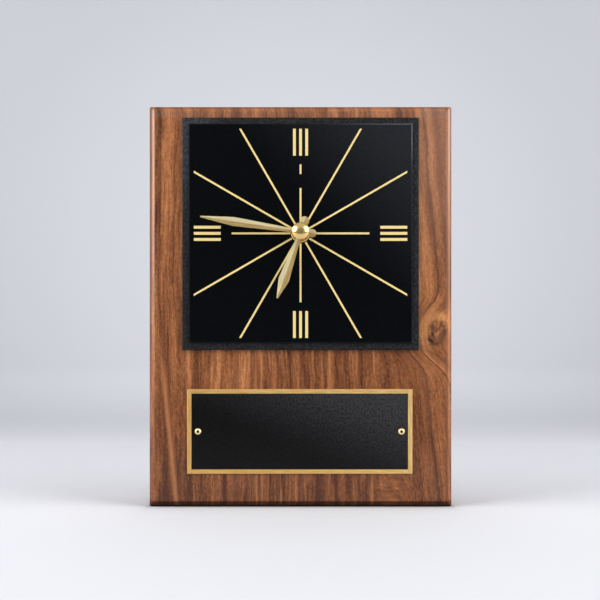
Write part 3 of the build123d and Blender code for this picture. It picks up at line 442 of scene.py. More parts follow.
def dress(material, *names):
    """Gives a finish to nodes or new pieces, in place of the plain one that they came with."""
    for name in names:
        mesh = bpy.data.objects[name].data
        mesh.materials.clear()
        mesh.materials.append(material)
    print(material.name, "on", ", ".join(names))


print("middle grey is", round(paint(128, 128, 128)[0], 3), "to a shader")

# %% [markdown]
# Walnut is the largest thing in the picture. Its grain runs up the board, leans a little on the right, and
# swerves there round a knot. A picture of wood would fit one side only, so one number is worked out for
# every point of the block: how far across the grain it lies. All that is read by that number then bends
# together. The swerve is a flat-topped curve at the knot's height, and it fades away to the left.

# %% Bend the grain
VEIN_TOP, LEAN_TOP, GRAIN_LEAN = 62.4, 196.7, 0.102
LEAN_EDGE, LEAN_FADE = 60.0, 20.0
SWERVE, SWERVE_UP, SWERVE_LENGTH, SWERVE_REACH = 14.0, 86.6, 16.5, 8.0
BOW, BOW_TOP, BOW_FOOT = 1.2, (184.0, 168.0), (100.0, 112.0)
WANDER, WANDER_WIDE, WANDER_TALL, WANDER_CALM = 6.0, 30.0, 45.0, 0.92


def bent_grain(start):
    """Place across the grain: x, less the lean, plus the swerve, a slight bow and a slow wander."""
    x, y, z = millimetres(start)
    lane = start.maths("MAXIMUM", LEAN_EDGE - x, 0.0) / LEAN_FADE
    near = start.maths("EXPONENT", lane * lane * -1)
    leaning = x - near * (LEAN_TOP - z) * GRAIN_LEAN - VEIN_TOP
    rise = start.maths("ABSOLUTE", (z - SWERVE_UP) / SWERVE_LENGTH)
    swerve = start.maths("EXPONENT", rise * rise * rise * -1) * SWERVE
    left = start.maths("MAXIMUM", 0.0 - leaning - swerve, 0.0)
    bow = near * z.step(*BOW_TOP) * z.step(*BOW_FOOT) * BOW
    wander = (noise(start, x / WANDER_WIDE, y / WANDER_WIDE, z / WANDER_TALL) - 0.5) * WANDER
    across = leaning + swerve * left.bell(0.0, SWERVE_REACH) + bow + wander * (1 - near * WANDER_CALM)
    return SimpleNamespace(start=start, x=x, y=y, z=z, near=near, wander=wander, across=across)


print("the main vein starts", VEIN_TOP, "mm to the right and swerves", SWERVE, "mm at the knot")

# %% [markdown]
# Each year of growth is a band, bands hold streaks, and streaks hold fibres. All are noise stretched along
# the height, each at its own width, and their sum is the tone of the wood. Bands and streaks are slices of
# rings, so they also slant and curve through the depth of the board, and show as arcs on its ends.

# %% Grow bands, streaks and fibres
RING_SLANT, RING_CURVE, RING_SLOW = 0.3, 0.014, 8
BAND, STREAK, FIBRE, MOTTLE = (5, 130), (1.7, 36), (0.6, 9), (0.7, 1.5)
FRAY = 2.2


def grain(wood, across, deep, size, **sockets):
    """Noise with grains of one size across and through the board, and another along it."""
    return noise(wood.start, across / size[0], deep / size[0], wood.z / size[1], **sockets)


def grow_wood(wood):
    """Adds the tone, a sum of four noises about 0.5, and the noises that later steps read again."""
    deep = wood.y - BOARD_FRONT
    ring = wood.across + deep * RING_SLANT + deep * deep * RING_CURVE
    slow = BOARD_FRONT + deep / RING_SLOW
    bands = grain(wood, ring, slow, BAND)
    streaks = grain(wood, ring, slow, STREAK, detail=3.0, roughness=0.62)
    wood.fibres = grain(wood, wood.across, wood.y, FIBRE, detail=3.0, roughness=0.6)
    mottle = grain(wood, wood.across, wood.y, MOTTLE)
    tone = ((bands - 0.5) * 1.05 + (streaks - 0.5) * 0.8) * (1 - wood.near * 0.45)
    wood.tone = tone + (wood.fibres - 0.5) * 0.6 + (mottle - 0.5) * 0.5 + 0.5
    wood.ragged = streaks.step(0.38, 0.56)
    wood.rough = grain(wood, wood.x, wood.y, (FRAY, FRAY), detail=3.0)


print("bands", BAND[0], "mm wide, streaks", STREAK[0], "mm, fibres", FIBRE[0], "mm")

# %% [markdown]
# This board is made darker towards its foot and at its lower left, and its right side is painted lighter as
# a painted sheen. Beside the main vein on the right it has lighter and darker lanes. Each lane is a mask,
# made of smooth steps across and up the board, that adds a little to the tone. A colour ramp then turns the
# tone into browns.

# %% Shade the lanes
BROWNS = (
    (0.15, paint(78, 40, 20)),
    (0.4, paint(122, 72, 40)),
    (0.56, paint(149, 92, 54)),
    (0.85, paint(190, 126, 79)),
)


def strip_lanes(wood):
    """Change of tone in the strip right of the dial: masks left of, along and right of the main vein."""
    x, z, across = wood.x, wood.z, wood.across
    strip = x.step(57.0, 60.0)
    above_knot = strip * z.step(103.0, 113.0)
    lower = z.step(150.0, 122.0)
    right_lane = across.step(-0.8, 0.8) * (0.08 + lower * 0.16)
    vein_lane = across.bell(-0.8, 3.0) * z.step(174.0, 158.0)
    left_lane = strip * z.step(94.0, 101.0) * across.step(-1.0, -3.5)
    top_lane = strip * z.step(142.0, 160.0) * across.step(6.0, 3.0)
    below_knot = across.step(0.0, 1.0) * z.bell(76.0, 7.0)
    lanes = above_knot * (lower * 0.08 - right_lane - vein_lane * 0.2)
    return lanes + left_lane * 0.11 + top_lane * 0.07 - below_knot * 0.08


def board_browns(wood):
    """Colour of the tone with its lanes, its right side painted lighter as a sheen, and its darker foot and
    left side.
    """
    x, z = wood.x, wood.z
    # Painted sheen: the strip right of the dial is painted lighter, more so higher up.
    lighter = x.step(56.0, 62.0) * z.step(40.0, 120.0) * 0.1
    lighter = lighter + x.step(58.0, 64.0) * z.step(84.0, 70.0) * 0.09 + z.bell(70.0, 12.0) * 0.04
    darker = z.step(150.0, 0.0) * 0.13 + z.step(26.0, 4.0) * 0.05
    darker = darker + x.step(-50.0, -60.0) * z.step(180.0, 90.0) * 0.05
    tone = wood.tone + strip_lanes(wood) + lighter - darker
    return wood.start.node("ValToRGB", {"stops": BROWNS}, {0: tone})


print("tones run through", len(BROWNS), "browns")

# %% [markdown]
# Veins are thin lines where dark colour settled while the tree grew. They follow the bent grain, their edges
# frayed by the finer noises, and they grow faint beside the knot. The streaks further left run straight up.
# All of them are bell curves across the grain, gathered in one mask of light lines and one of dark lines.

# %% Draw the veins and streaks
KNOT = (69.2, 88.4)
VEINS = ((0.0, 0.7, 0.65), (-0.4, 2.0, 0.25), (5.8, 1.8, 0.6), (-12.2, 1.0, 0.9), (-12.7, 2.3, 0.65))
DARK_STREAKS = (-34.0, -31.5, -25.0, -11.9, -4.3, -0.3, 11.9, 29.6, 34.6, 50.3)
LIGHT_STREAKS = (-22.5, -19.8, -9.7, 14.5, 28.0, 36.6)
FOOT_STREAK, FOOT_STREAK_UP = -68.5, 59.2


def draw_lines(wood, brown):
    """Brown with its light and dark lines: bells of given place, width and depth, broken up by streaks."""
    x, z, ragged = wood.x, wood.z, wood.ragged
    dark, light = 0.0, 0.0
    frayed = wood.across + (wood.rough - 0.5) * 2.0 + (wood.fibres - 0.5)
    for place, width, depth in VEINS:
        dark = dark + frayed.bell(place, width) * depth
    faint = wood.near.step(0.1, 0.7) * (1 - z.bell(KNOT[1], 9.0) * 0.5)
    dark = dark * (0.45 + ragged * 0.55) * faint
    drift = x + wood.wander * 0.35
    for place in DARK_STREAKS:
        dark = dark + drift.bell(place, 0.8) * ragged * 0.5
    for place in LIGHT_STREAKS:
        light = light + drift.bell(place, 0.7) * ragged * 0.45
    foot = x + (z - FOOT_STREAK_UP) * GRAIN_LEAN - FOOT_STREAK
    low = z.step(90.0, 60.0)
    light = light + foot.bell(0.0, 1.2) * low * 0.6
    dark = dark + (foot.bell(2.4, 0.6) + foot.bell(-2.2, 0.7)) * low * ragged * 0.5
    brown = wood.start.maths("MINIMUM", light, 1.0).tint(brown, paint(184, 120, 76))
    return wood.start.maths("MINIMUM", dark, 1.0).tint(brown, paint(82, 46, 30))


print(len(VEINS), "veins,", len(DARK_STREAKS), "dark streaks and", len(LIGHT_STREAKS), "light ones")

# %% [markdown]
# A knot is the foot of a branch that the trunk grew round. Here it is a brown heart with small dark spots
# and two round eyes, inside a light halo of turned fibres. Distance from its middle, in shares of its size,
# gives heart and halo, and a noise roughens their edges. The dark spots are soft, placed one by one.

# %% Set the knot
KNOT_SIZE = (4.9, 6.2)
KNOT_EYES = ((67.9, 92.7), (72.3, 92.7))
EYE_RADIUS, EYE_LINE = 1.3, 0.42
KNOT_DARK_SPOTS = (
    (66.7, 87.4, 0.8, 1.2, 1.1),
    (66.2, 84.0, 1.0, 1.5, 1.1),
    (64.7, 85.5, 0.8, 1.7, 0.95),
    (66.5, 90.4, 0.7, 1.8, 0.85),
    (72.8, 88.8, 1.9, 2.2, 0.8),
    (68.6, 82.6, 3.2, 1.3, 0.7),
    (71.0, 85.2, 2.6, 2.0, 0.6),
)


def gap_from(wood, place, size):
    """Distance from a place on the front, as a share of a size across and up."""
    aside, above = (wood.x - place[0]) / size[0], (wood.z - place[1]) / size[1]
    return wood.start.maths("SQRT", aside * aside + above * above)


def knot_halo(wood, brown):
    """Brown with a light ring round the knot, flecked with dark, fading out to the lower right."""
    halo = wood.reach.bell(1.35, 0.45) * (wood.x - wood.z).step(-8.0, -24.0)
    brown = (halo * (0.45 + wood.ragged * 0.5)).tint(brown, paint(212, 146, 88))
    flecks = grain(wood, wood.x, wood.y, (1.1, 1.1)).step(0.52, 0.64)
    return (halo * flecks * 0.5).tint(brown, paint(128, 78, 44))


def knot_heart(wood, brown):
    """Brown with the heart of the knot, its dark spots (place, half width, half height, depth) and eyes."""
    heart = wood.rough.step(0.38, 0.62).tint(paint(106, 64, 42), paint(172, 114, 72))
    brown = (wood.reach.step(1.1, 0.7) * 0.85).tint(brown, heart)
    shade = 0.0
    for across, up, wide, tall, depth in KNOT_DARK_SPOTS:
        shade = shade + wood.x.bell(across, wide) * wood.z.bell(up, tall) * depth
    for eye in KNOT_EYES:
        shade = shade + gap_from(wood, eye, (1, 1)).bell(EYE_RADIUS, EYE_LINE) * 0.5
    shade = shade * (0.5 + wood.rough.step(0.35, 0.6) * 0.7)
    return wood.start.maths("MINIMUM", shade, 1.0).tint(brown, paint(56, 32, 22))


print("the knot is", 2 * KNOT_SIZE[0], "mm wide and", 2 * KNOT_SIZE[1], "mm high")

# %% [markdown]
# The bevels carry painted light and shade. Along both sides a thin line is painted light as a highlight,
# with a darker line of painted shade beside it on the right, and the part nearest the outline is painted
# darker as shade. The top bevel is browner, and the one at the foot is painted nearly black as shade, with a
# painted contact shadow along its lowest edge. Lamps on the bare shape don't show that, so these lines are
# masks of the distance in from the outline, most of them on the front bevel only.

# %% Paint light and shade on the edges
HIGHLIGHT_INSET, HIGHLIGHT_WIDTH, EDGE_SHIFT = 1.85, 0.45, 0.35
SHADE_LINE_INSET, SHADE_LINE_WIDTH = 2.95, 0.65
PALE_HIGHLIGHT, WARM_HIGHLIGHT = paint(232, 188, 158), paint(226, 156, 92)


def light_and_shade_sides(wood, brown):
    """Brown with painted shade along the outline and in a line inside the right bevel, and a painted
    highlight line on both sides.
    """
    x, z, front = wood.x, wood.z, wood.front
    inward = board_high[0] - wood.start.maths("ABSOLUTE", x - EDGE_SHIFT)
    # Painted shade on the part of both side bevels nearest the outline, stronger higher up.
    outer_shade = front * inward.step(1.9, 0.4) * z.step(20.0, 90.0)
    brown = (outer_shade * 0.6).tint(brown, paint(84, 46, 24))
    right = x.step(0.0, 1.0)
    # Painted shade: a darker line inside the right bevel, where the coat of gloss is also taken off.
    wood.seam = front * right * inward.bell(SHADE_LINE_INSET, SHADE_LINE_WIDTH)
    brown = (wood.seam * (0.45 + z.step(90.0, 65.0) * 0.3)).tint(brown, paint(96, 54, 28))
    # Painted highlight: a light line along both side bevels, stronger higher up and on the right.
    highlight = front * inward.bell(HIGHLIGHT_INSET, HIGHLIGHT_WIDTH) * (z + right * 50.0).step(50.0, 170.0)
    warm = right * z.step(190.0, 135.0)
    return (highlight * (0.45 - warm * 0.12)).tint(brown, warm.tint(PALE_HIGHLIGHT, WARM_HIGHLIGHT))


def tone_and_shade_ends(wood, brown):
    """Brown with the browner top bevel, the darker end above it, painted shade on the bevel at the foot and
    a painted contact shadow along its lowest edge.
    """
    z, front = wood.z, wood.front
    downward = board_high[2] - z
    wood.top_bevel = front * downward.step(2.4, 0.4)
    brown = (wood.top_bevel * 0.5).tint(brown, paint(110, 56, 22))
    brown = (downward.step(0.35, 0.1) * 0.3).tint(brown, paint(78, 44, 26))
    # Painted shade: the bevel at the foot is painted nearly black, and below 0.9 mm it is black as a painted
    # contact shadow.
    wood.foot_bevel = front * z.step(3.8, 2.6)
    brown = (wood.foot_bevel * 0.62).tint(brown, paint(32, 12, 3))
    return (front * z.step(0.9, 0.5)).tint(brown, paint(6, 3, 2))


print("the worn line lies", HIGHLIGHT_INSET, "mm in from the outline, the seam", SHADE_LINE_INSET, "mm")

# %% [markdown]
# Now the steps come together, from the ground colour to the painted light and shade of the edges, in the
# order in which each covers the one before. Short dark pores and a painted pale sheen at the upper right
# come between knot and edges. The board is oiled rather than varnished, so its coat of gloss is thin. It
# grows towards the top, as in the photograph, and is taken off the painted shade line and off the bevels at
# top and foot.

# %% Put the walnut together
PORE = (0.3, 3.6)


def sheen_and_grey_band(wood, brown):
    """Brown with a painted pale sheen at the upper right and a grey band close under the top bevel."""
    downward = board_high[2] - wood.z
    corner = wood.x.step(56.0, 64.0) * wood.z.step(95.0, 185.0)
    band = downward.step(8.0, 5.0) * downward.step(2.4, 3.4)
    # Painted sheen: a pale tint at the upper right.
    brown = (corner * 0.22).tint(brown, paint(178, 140, 122))
    return (band * 0.16).tint(brown, paint(112, 104, 104))


def walnut():
    """Warm brown wood with bands, streaks, fibres, pores, dark veins and one knot."""
    material, shader, start = start_finish("walnut", specular_ior_level=0.2, coat_roughness=0.16)
    wood = bent_grain(start)
    grow_wood(wood)
    wood.reach = gap_from(wood, KNOT, KNOT_SIZE) + wood.rough * 0.5 - 0.25
    wood.front = wood.y.step(BOARD_FRONT + BEVEL + 0.9, BOARD_FRONT + BEVEL + 0.1)
    brown = board_browns(wood)
    for layer in (knot_halo, draw_lines, knot_heart):
        brown = layer(wood, brown)
    pores = grain(wood, wood.across, wood.y, PORE).step(0.58, 0.72)
    brown = (pores * 0.55).tint(brown, paint(70, 40, 27))
    for layer in (sheen_and_grey_band, light_and_shade_sides, tone_and_shade_ends):
        brown = layer(wood, brown)
    coated = (1 - wood.foot_bevel) * (1 - wood.seam) * (1 - wood.top_bevel * 0.8)
    start.connect(shader, {
        "Base Color": brown,
        "Roughness": 0.4 + wood.fibres * 0.16 + wood.foot_bevel * 0.4,
        "Coat Weight": coated * (0.28 + wood.z.step(30.0, 190.0) * 0.25),
        "Normal": bump(start, wood.fibres * 0.4 - pores, 0.03, 0.4),
    })
    print("the walnut has", len(material.node_tree.nodes), "nodes")
    return material


dress(walnut(), "board", "walnut_board")

# %% [markdown]
# The dial is a lacquered sheet. Its lacquer is nearly black, so the shine is what shows: smooth satin with a
# very fine orange-peel. Towards the upper right it mirrors something light, and a thin line gleams along
# the edge of that corner. What it mirrored isn't in the picture, so both are painted.

# %% Lacquer the dial
DIAL_EDGE = 0.35
dial_high = node_box("dial_plate")[1]


def dial_lacquer():
    """Satin black with a fine orange-peel, lighter towards one corner and along the edges of that corner."""
    material, shader, start = start_finish("dial_lacquer", specular_ior_level=0.25)
    x, y, z = millimetres(start)
    up = z - DIAL_HEIGHT
    peel = noise(start, x / 0.7, y / 0.7, z / 0.7)
    # Painted reflection: the lacquer is painted lighter towards the upper right.
    painted_sheen = (x + up).step(10.0, 125.0)
    black = (painted_sheen * (0.75 + peel * 0.5)).tint(paint(3, 5, 8), paint(36, 37, 41))
    side_edge = (start.maths("ABSOLUTE", x) - dial_high[0] + DIAL_EDGE).step(-0.1, 0.1)
    # Painted highlight: thin light lines along the upper right edge and the right part of the top edge.
    right_edge = side_edge * x.step(0.0, 1.0) * up.step(28.0, 50.0)
    top_edge = (z - dial_high[2] + DIAL_EDGE).step(-0.1, 0.1) * x.step(8.0, 56.0)
    start.connect(shader, {
        "Base Color": start.maths("MAXIMUM", right_edge, top_edge).tint(black, paint(104, 106, 110)),
        "Roughness": 0.24 + peel * 0.1 + side_edge * 0.66,
        "Normal": bump(start, peel, 0.01, 0.5),
    })
    return material


dress(dial_lacquer(), "dial_plate")

# %% [markdown]
# Behind the sheet sits a larger square with a fine pebble grain, like leather. Both are black, and the grain
# is what tells them apart: it breaks the light up into small specks. One noise gives the bump, the colour of
# hollows and pebbles, and the roughness, so that they agree. The lighter pebbles and near-black hollows are
# partly painted light and shade, and the upper parts of both sides carry a painted sheen.

# %% Grain the dial's backing
PEBBLE, PEBBLE_DEPTH = 1.3, 0.7


def pebble_black():
    """Matt black with a fine pebble grain, painted lighter at the upper parts of both sides as a painted
    sheen.
    """
    material, shader, start = start_finish("pebble_black", specular_ior_level=0.2)
    x, y, z = millimetres(start)
    pebbles = noise(start, x / PEBBLE, y / PEBBLE, z / PEBBLE, detail=4.0, roughness=0.7)
    # Painted sheen: the upper parts of both sides are painted lighter.
    painted_sheen = start.maths("ABSOLUTE", x - 8.0).step(46.0, 60.0) * (z - DIAL_HEIGHT).step(0.0, 45.0)
    # Lighter pebbles and near-black hollows: partly painted light and shade of the grain.
    hollow = painted_sheen.tint(paint(0, 0, 1), paint(26, 29, 33))
    pebble = painted_sheen.tint(paint(27, 28, 32), paint(50, 54, 60))
    start.connect(shader, {
        "Base Color": pebbles.step(0.44, 0.58).tint(hollow, pebble),
        "Roughness": 0.38 + pebbles * 0.2,
        "Normal": bump(start, pebbles, PEBBLE_DEPTH, 1.0),
    })
    return material


dress(pebble_black(), "dial_backing")

# %% [markdown]
# Four kinds of brass show: the printed gold of the rays, the lacquered gold of the hands, the brushed
# border of the plate and the polish of the turned pieces. Polish mirrors the room, while print and brushed
# metal scatter it, so they differ in roughness more than in colour. Print and polish come first, because
# one function makes both.

# %% Gild the rays and polish the turned pieces
SCRATCH = 0.4


def gold(name, light, dark, roughness, metallic, depth):
    """Yellow metal, mottled by fine scratches."""
    material, shader, start = start_finish(name, metallic=metallic)
    x, y, z = millimetres(start)
    scratches = noise(start, x / SCRATCH, y / SCRATCH, z / SCRATCH, detail=3.0)
    start.connect(shader, {
        "Base Color": scratches.step(0.3, 0.7).tint(dark, light),
        "Roughness": roughness + scratches * 0.1,
        "Normal": bump(start, scratches, depth, 0.3),
    })
    return material


ray_gold = gold("ray_gold", paint(248, 228, 158), paint(236, 204, 130), 0.4, 0.2, 0.01)
mirror_brass = gold("mirror_brass", paint(240, 208, 136), paint(232, 196, 122), 0.16, 0.8, 0.002)
dress(ray_gold, "hour_markers")
dress(mirror_brass, "cap", "cap_nut", "mounting_nut", "nut_washer", "threaded_bush")

# %% [markdown]
# Each hand has a ridge along its middle and two facets that slope away from it. One facet is painted pale as
# a highlight and the other tan as shade, more than the lamps alone would make them, so the two are coloured
# apart along the ridge. The brush lines run along the hand: its angle on the dial turns the coordinates.

# %% Brush the hands
HOUR_ANGLE, MINUTE_ANGLE = 199.5, 278.5
BRUSH_WIDE, BRUSH_DEEP, BRUSH_LONG = 0.16, 0.5, 7.0


def hand_gold(name, clock_angle):
    """Gold hand, one facet painted pale as a highlight and the other tan as shade, on either side of its
    ridge.
    """
    material, shader, start = start_finish(name, metallic=0.45)
    x, y, z = millimetres(start)
    up = z - DIAL_HEIGHT
    sine, cosine = np.sin(np.radians(clock_angle)), np.cos(np.radians(clock_angle))
    along = x * sine + up * cosine
    across = x * cosine - up * sine
    brushed = noise(start, across / BRUSH_WIDE, y / BRUSH_DEEP, along / BRUSH_LONG, detail=3.0)
    lines = brushed.step(0.25, 0.75)
    pale = lines.tint(paint(206, 188, 134), paint(250, 238, 192))
    tan = lines.tint(paint(170, 138, 80), paint(224, 196, 132))
    start.connect(shader, {
        # Painted highlight and shade: the pale facet and the tan facet meet at the ridge.
        "Base Color": across.step(-0.15, 0.15).tint(tan, pale),
        "Roughness": 0.3 + lines * 0.12,
        "Normal": bump(start, lines, 0.01, 0.3),
    })
    return material


dress(hand_gold("hour_gold", HOUR_ANGLE), "hour_hand")
dress(hand_gold("minute_gold", MINUTE_ANGLE), "minute_hand")

# %% [markdown]
# The plate is brass with a sunk field. Its border is brushed along each side, so two noises stretched at
# right angles take turns, one on the ends and one along top and bottom. A hair of the border's inner edge is
# black, which makes the gold look narrower than the metal is. The border is painted lighter towards the
# right and up, as painted light.

# %% Brush the plate's border
PLATE_BORDER = 2.45
INNER_BLACK_WIDTH = 0.25
LINE_LONG, LINE_WIDE, LINE_DEEP = 6.0, 0.25, 0.3
plate_low, plate_high = node_box("engraving_plate")
plate_middle = (plate_low + plate_high) / 2
field_half = (plate_high - plate_low) / 2 - PLATE_BORDER


def plate_gold():
    """Brass brushed along each side of the border, painted lighter to the right as painted light, black
    along its inner edge.
    """
    material, shader, start = start_finish("plate_gold")
    x, y, z = millimetres(start)
    level = noise(start, x / LINE_LONG, y / LINE_DEEP, z / LINE_WIDE, detail=3.0)
    upright = noise(start, x / LINE_WIDE, y / LINE_DEEP, z / LINE_LONG, detail=3.0)
    aside = start.maths("ABSOLUTE", x - plate_middle[0]) - field_half[0]
    above = start.maths("ABSOLUTE", z - plate_middle[2]) - field_half[2]
    lines = (level + aside.step(-0.1, 0.1) * (upright - level)).step(0.3, 0.7)
    # Painted light: the border is painted lighter towards the right and up.
    lit = (x + (z - plate_middle[2]) * 1.5).step(-60.0, 70.0)
    groove = lit.tint(paint(206, 158, 88), paint(222, 178, 106))
    ridge = lit.tint(paint(230, 186, 112), paint(248, 210, 140))
    inner_black = start.maths("MAXIMUM", aside, above).step(INNER_BLACK_WIDTH + 0.05, INNER_BLACK_WIDTH - 0.05)
    start.connect(shader, {
        "Base Color": inner_black.tint(lines.tint(groove, ridge), paint(8, 8, 9)),
        "Metallic": 0.6 - inner_black * 0.6,
        "Roughness": 0.4 + lines * 0.1,
        "Normal": bump(start, lines, 0.01, 0.3),
    })
    return material


dress(plate_gold(), "engraving_plate")

# %% [markdown]
# Black enamel fills the field. A fine noise gives its soft, grainy satin: it feeds the bump, the colour and
# the roughness. As on the dial, the upper right corner is painted lighter, a painted sheen.

# %% Fill the plate with enamel
def enamel():
    """Satin black enamel, painted a little lighter towards its upper right corner as a painted sheen."""
    material, shader, start = start_finish("enamel", specular_ior_level=0.2)
    x, y, z = millimetres(start)
    peel = noise(start, x / 0.8, y / 0.8, z / 1.2, detail=3.0, roughness=0.6)
    # Painted sheen towards the upper right corner.
    painted_sheen = (x * 0.4 + z - plate_middle[2]).step(-14.0, 46.0)
    black = peel.step(0.4, 0.6).tint(paint(1, 1, 2), paint(12, 12, 13))
    start.connect(shader, {
        "Base Color": (painted_sheen * (0.45 + peel.step(0.35, 0.65) * 1.1)).tint(black, paint(53, 53, 55)),
        "Roughness": 0.28 + peel * 0.14,
        "Normal": bump(start, peel, 0.06, 1.0),
    })
    return material


dress(enamel(), "plate_enamel")

# %% [markdown]
# The heads of the pins are pale brass with a darker rim, and a dark spot in the middle painted as a
# reflection of the camera. Both pins share one finish: the distance from the nearer pin's axis gives rim and
# spot.

# %% Wear the pins
def pin_brass():
    """Pale brass with a darker rim, and a painted dark reflection of the camera in the middle of each head.
    """
    material, shader, start = start_finish("pin_brass", metallic=0.35)
    x, y, z = millimetres(start)
    pin_reach = (pin_high[0] - pin_low[0]) / 2 - pin_head
    aside = start.maths("ABSOLUTE", x - (pin_low[0] + pin_high[0]) / 2) - pin_reach
    above = z - pin_height
    away = start.maths("SQRT", aside * aside + above * above)
    wear = noise(start, x / 0.4, y / 0.4, z / 0.4)
    brass = wear.tint(paint(240, 218, 158), paint(250, 234, 186))
    rimmed = away.step(1.3, 1.6).tint(brass, paint(160, 122, 62))
    start.connect(shader, {
        # Painted reflection: the dark spot in the middle of each head.
        "Base Color": away.step(0.9, 0.6).tint(rimmed, paint(38, 22, 8)),
        "Roughness": 0.3 + wear * 0.1,
    })
    return material


dress(pin_brass(), "pins", "plate_pins")

# %% [markdown]
# The movement hides in the pocket, but its back is in plain view from behind: a black moulded case, a grey
# black cover, a knob and a cell. The wheels inside are natural plastic and the motor is steel and copper.
# They share a few simple finishes, each with a little grain so that none is a flat colour.

# %% Finish the movement
def moulded(name, light, dark, roughness, grain_size=0.4, metallic=0.0, depth=0.03):
    """Moulded or rolled stuff of one colour, slightly mottled and grained."""
    material, shader, start = start_finish(name, metallic=metallic)
    x, y, z = millimetres(start)
    mottle = noise(start, x / grain_size, y / grain_size, z / grain_size, detail=3.0)
    start.connect(shader, {
        "Base Color": mottle.step(0.3, 0.7).tint(dark, light),
        "Roughness": roughness + mottle * 0.14,
        "Normal": bump(start, mottle, depth, 0.5),
    })
    return material


dress(moulded("case_black", paint(38, 38, 40), paint(28, 28, 30), 0.5), "movement_case", "setting_knob")
dress(moulded("cover_black", paint(44, 44, 46), paint(34, 34, 36), 0.48), "movement_cover")
dress(
    moulded("acetal", paint(226, 222, 212), paint(212, 207, 194), 0.42),
    "hour_wheel", "centre_wheel", "motion_wheel", "third_wheel", "seconds_wheel", "intermediate_wheel",
    "rotor_pinion", "setting_arbor", "train_bridge",
)
dress(
    moulded("steel", paint(176, 177, 180), paint(150, 151, 154), 0.3, metallic=1.0, depth=0.01),
    "minute_arbor", "clutch_spring", "stator", "coil_core", "stator_screws", "bridge_screws",
    "quartz_crystal",
)
dress(
    moulded("contact_brass", paint(214, 180, 112), paint(196, 160, 96), 0.3, metallic=1.0, depth=0.01),
    "positive_contact", "negative_contact",
)
dress(moulded("magnet_grey", paint(88, 88, 92), paint(70, 70, 74), 0.55, metallic=0.6), "rotor_magnet")
dress(moulded("copper_wire", paint(190, 104, 60), paint(150, 76, 42), 0.35, 0.12, 1.0), "coil_winding")
dress(moulded("bobbin_green", paint(52, 110, 66), paint(42, 94, 56), 0.45), "coil_bobbin")
dress(moulded("circuit_green", paint(30, 92, 54), paint(24, 78, 46), 0.35), "circuit_board")
dress(moulded("resin_black", paint(24, 24, 25), paint(16, 16, 17), 0.25), "circuit_chip")
dress(moulded("rubber_black", paint(30, 30, 30), paint(22, 22, 22), 0.75), "rubber_washer")
dress(moulded("cell_sleeve", paint(60, 74, 84), paint(52, 66, 76), 0.3), "battery_cell")

# %% [markdown]
# The photograph is taken level and from the front, with the horizon below the middle of the picture, as a
# view camera does it with a raised lens. Blender's shift does the same. The board's outline in the
# picture gives the scale, and with the lens it gives the distance.

# %% Set up the camera
PICTURE = 600
LENS, SENSOR = 50.0, 36.0
OUTLINE_LEFT, OUTLINE_RIGHT, OUTLINE_FOOT = 149.6, 451.45, 506.3
HORIZON_ROW = 360.0
outline_plane = BOARD_FRONT + BEVEL
pixel = (board_high[0] - board_low[0]) / (OUTLINE_RIGHT - OUTLINE_LEFT)
distance = pixel * PICTURE * LENS / SENSOR
eye = np.array([
    (PICTURE - OUTLINE_LEFT - OUTLINE_RIGHT) / 2 * pixel,
    outline_plane - distance,
    (OUTLINE_FOOT - HORIZON_ROW) * pixel,
])
camera = bpy.data.objects.new("camera", bpy.data.cameras.new("camera"))
bpy.context.scene.collection.objects.link(camera)
camera.data.lens = LENS
camera.data.sensor_width = SENSOR
camera.data.shift_y = (HORIZON_ROW - PICTURE / 2) / PICTURE
camera.data.clip_start = 0.01
camera.location = eye * MM
camera.rotation_euler = (np.pi / 2, 0, 0)
bpy.context.scene.camera = camera
print("camera", np.round(eye), "mm,", round(pixel, 4), "mm in a pixel")

# %% [markdown]
# A photographer's cove is one sheet of pale paper that lies on the table and curves up behind. Here it is a
# profile of floor, quarter circle and wall carried sideways. It is stage, not part of the clock.

# %% Bend the cove
COVE_BACK, COVE_RADIUS, COVE_HALF, COVE_TOP, COVE_NEAR = 275.0, 70.0, 1600.0, 1500.0, -900.0
COVE_STEPS = 33


def cove_sheet():
    """Floor, quarter circle (sin, 1 - cos) and wall, at two places across."""
    turn = np.radians(np.linspace(0, 90, COVE_STEPS))
    depth = COVE_BACK + COVE_RADIUS * np.sin(turn)
    up = COVE_RADIUS * (1 - np.cos(turn))
    depth = np.concatenate([[COVE_NEAR], depth, depth[-1:]])
    up = np.concatenate([[0.0], up, [COVE_TOP]])
    across = np.array([[-COVE_HALF], [COVE_HALF]])
    return np.stack(np.broadcast_arrays(across, depth, up), axis=-1) * MM


sheet = cove_sheet()
columns = sheet.shape[1]
corner = np.arange(columns - 1)
cove_mesh = bpy.data.meshes.new("cove")
cove_faces = np.stack([corner, columns + corner, columns + corner + 1, corner + 1], axis=-1)
cove_mesh.from_pydata(sheet.reshape(-1, 3), [], cove_faces.tolist())
cove_mesh.shade_smooth()
cove = bpy.data.objects.new("cove", cove_mesh)
bpy.context.scene.collection.objects.link(cove)
print("the cove has", len(cove_mesh.polygons), "faces")

# %% [markdown]
# The paper's light and shade are painted into its colour: lightest behind the clock and greyer to the sides,
# with its bend darker than the floor and the floor a little darker further back. Close to the board's foot
# it has a painted soft contact shade, which grows with nearness. Paper that lies out of the picture, near
# the camera, looks dark to mirrors, so that the dial stays black.

# %% Tone the paper
GLOW_UP, GLOW_FLAT, GLOW_EDGE, GLOW_HEART = 110.0, 1.6, 480.0, 100.0
CONTACT_SHADES = ((-0.3, 0.4), (-0.08, 0.12))
SHADE_ASIDE = 3
NEAR_SHOWN, NEAR_FADE = -200.0, 100.0


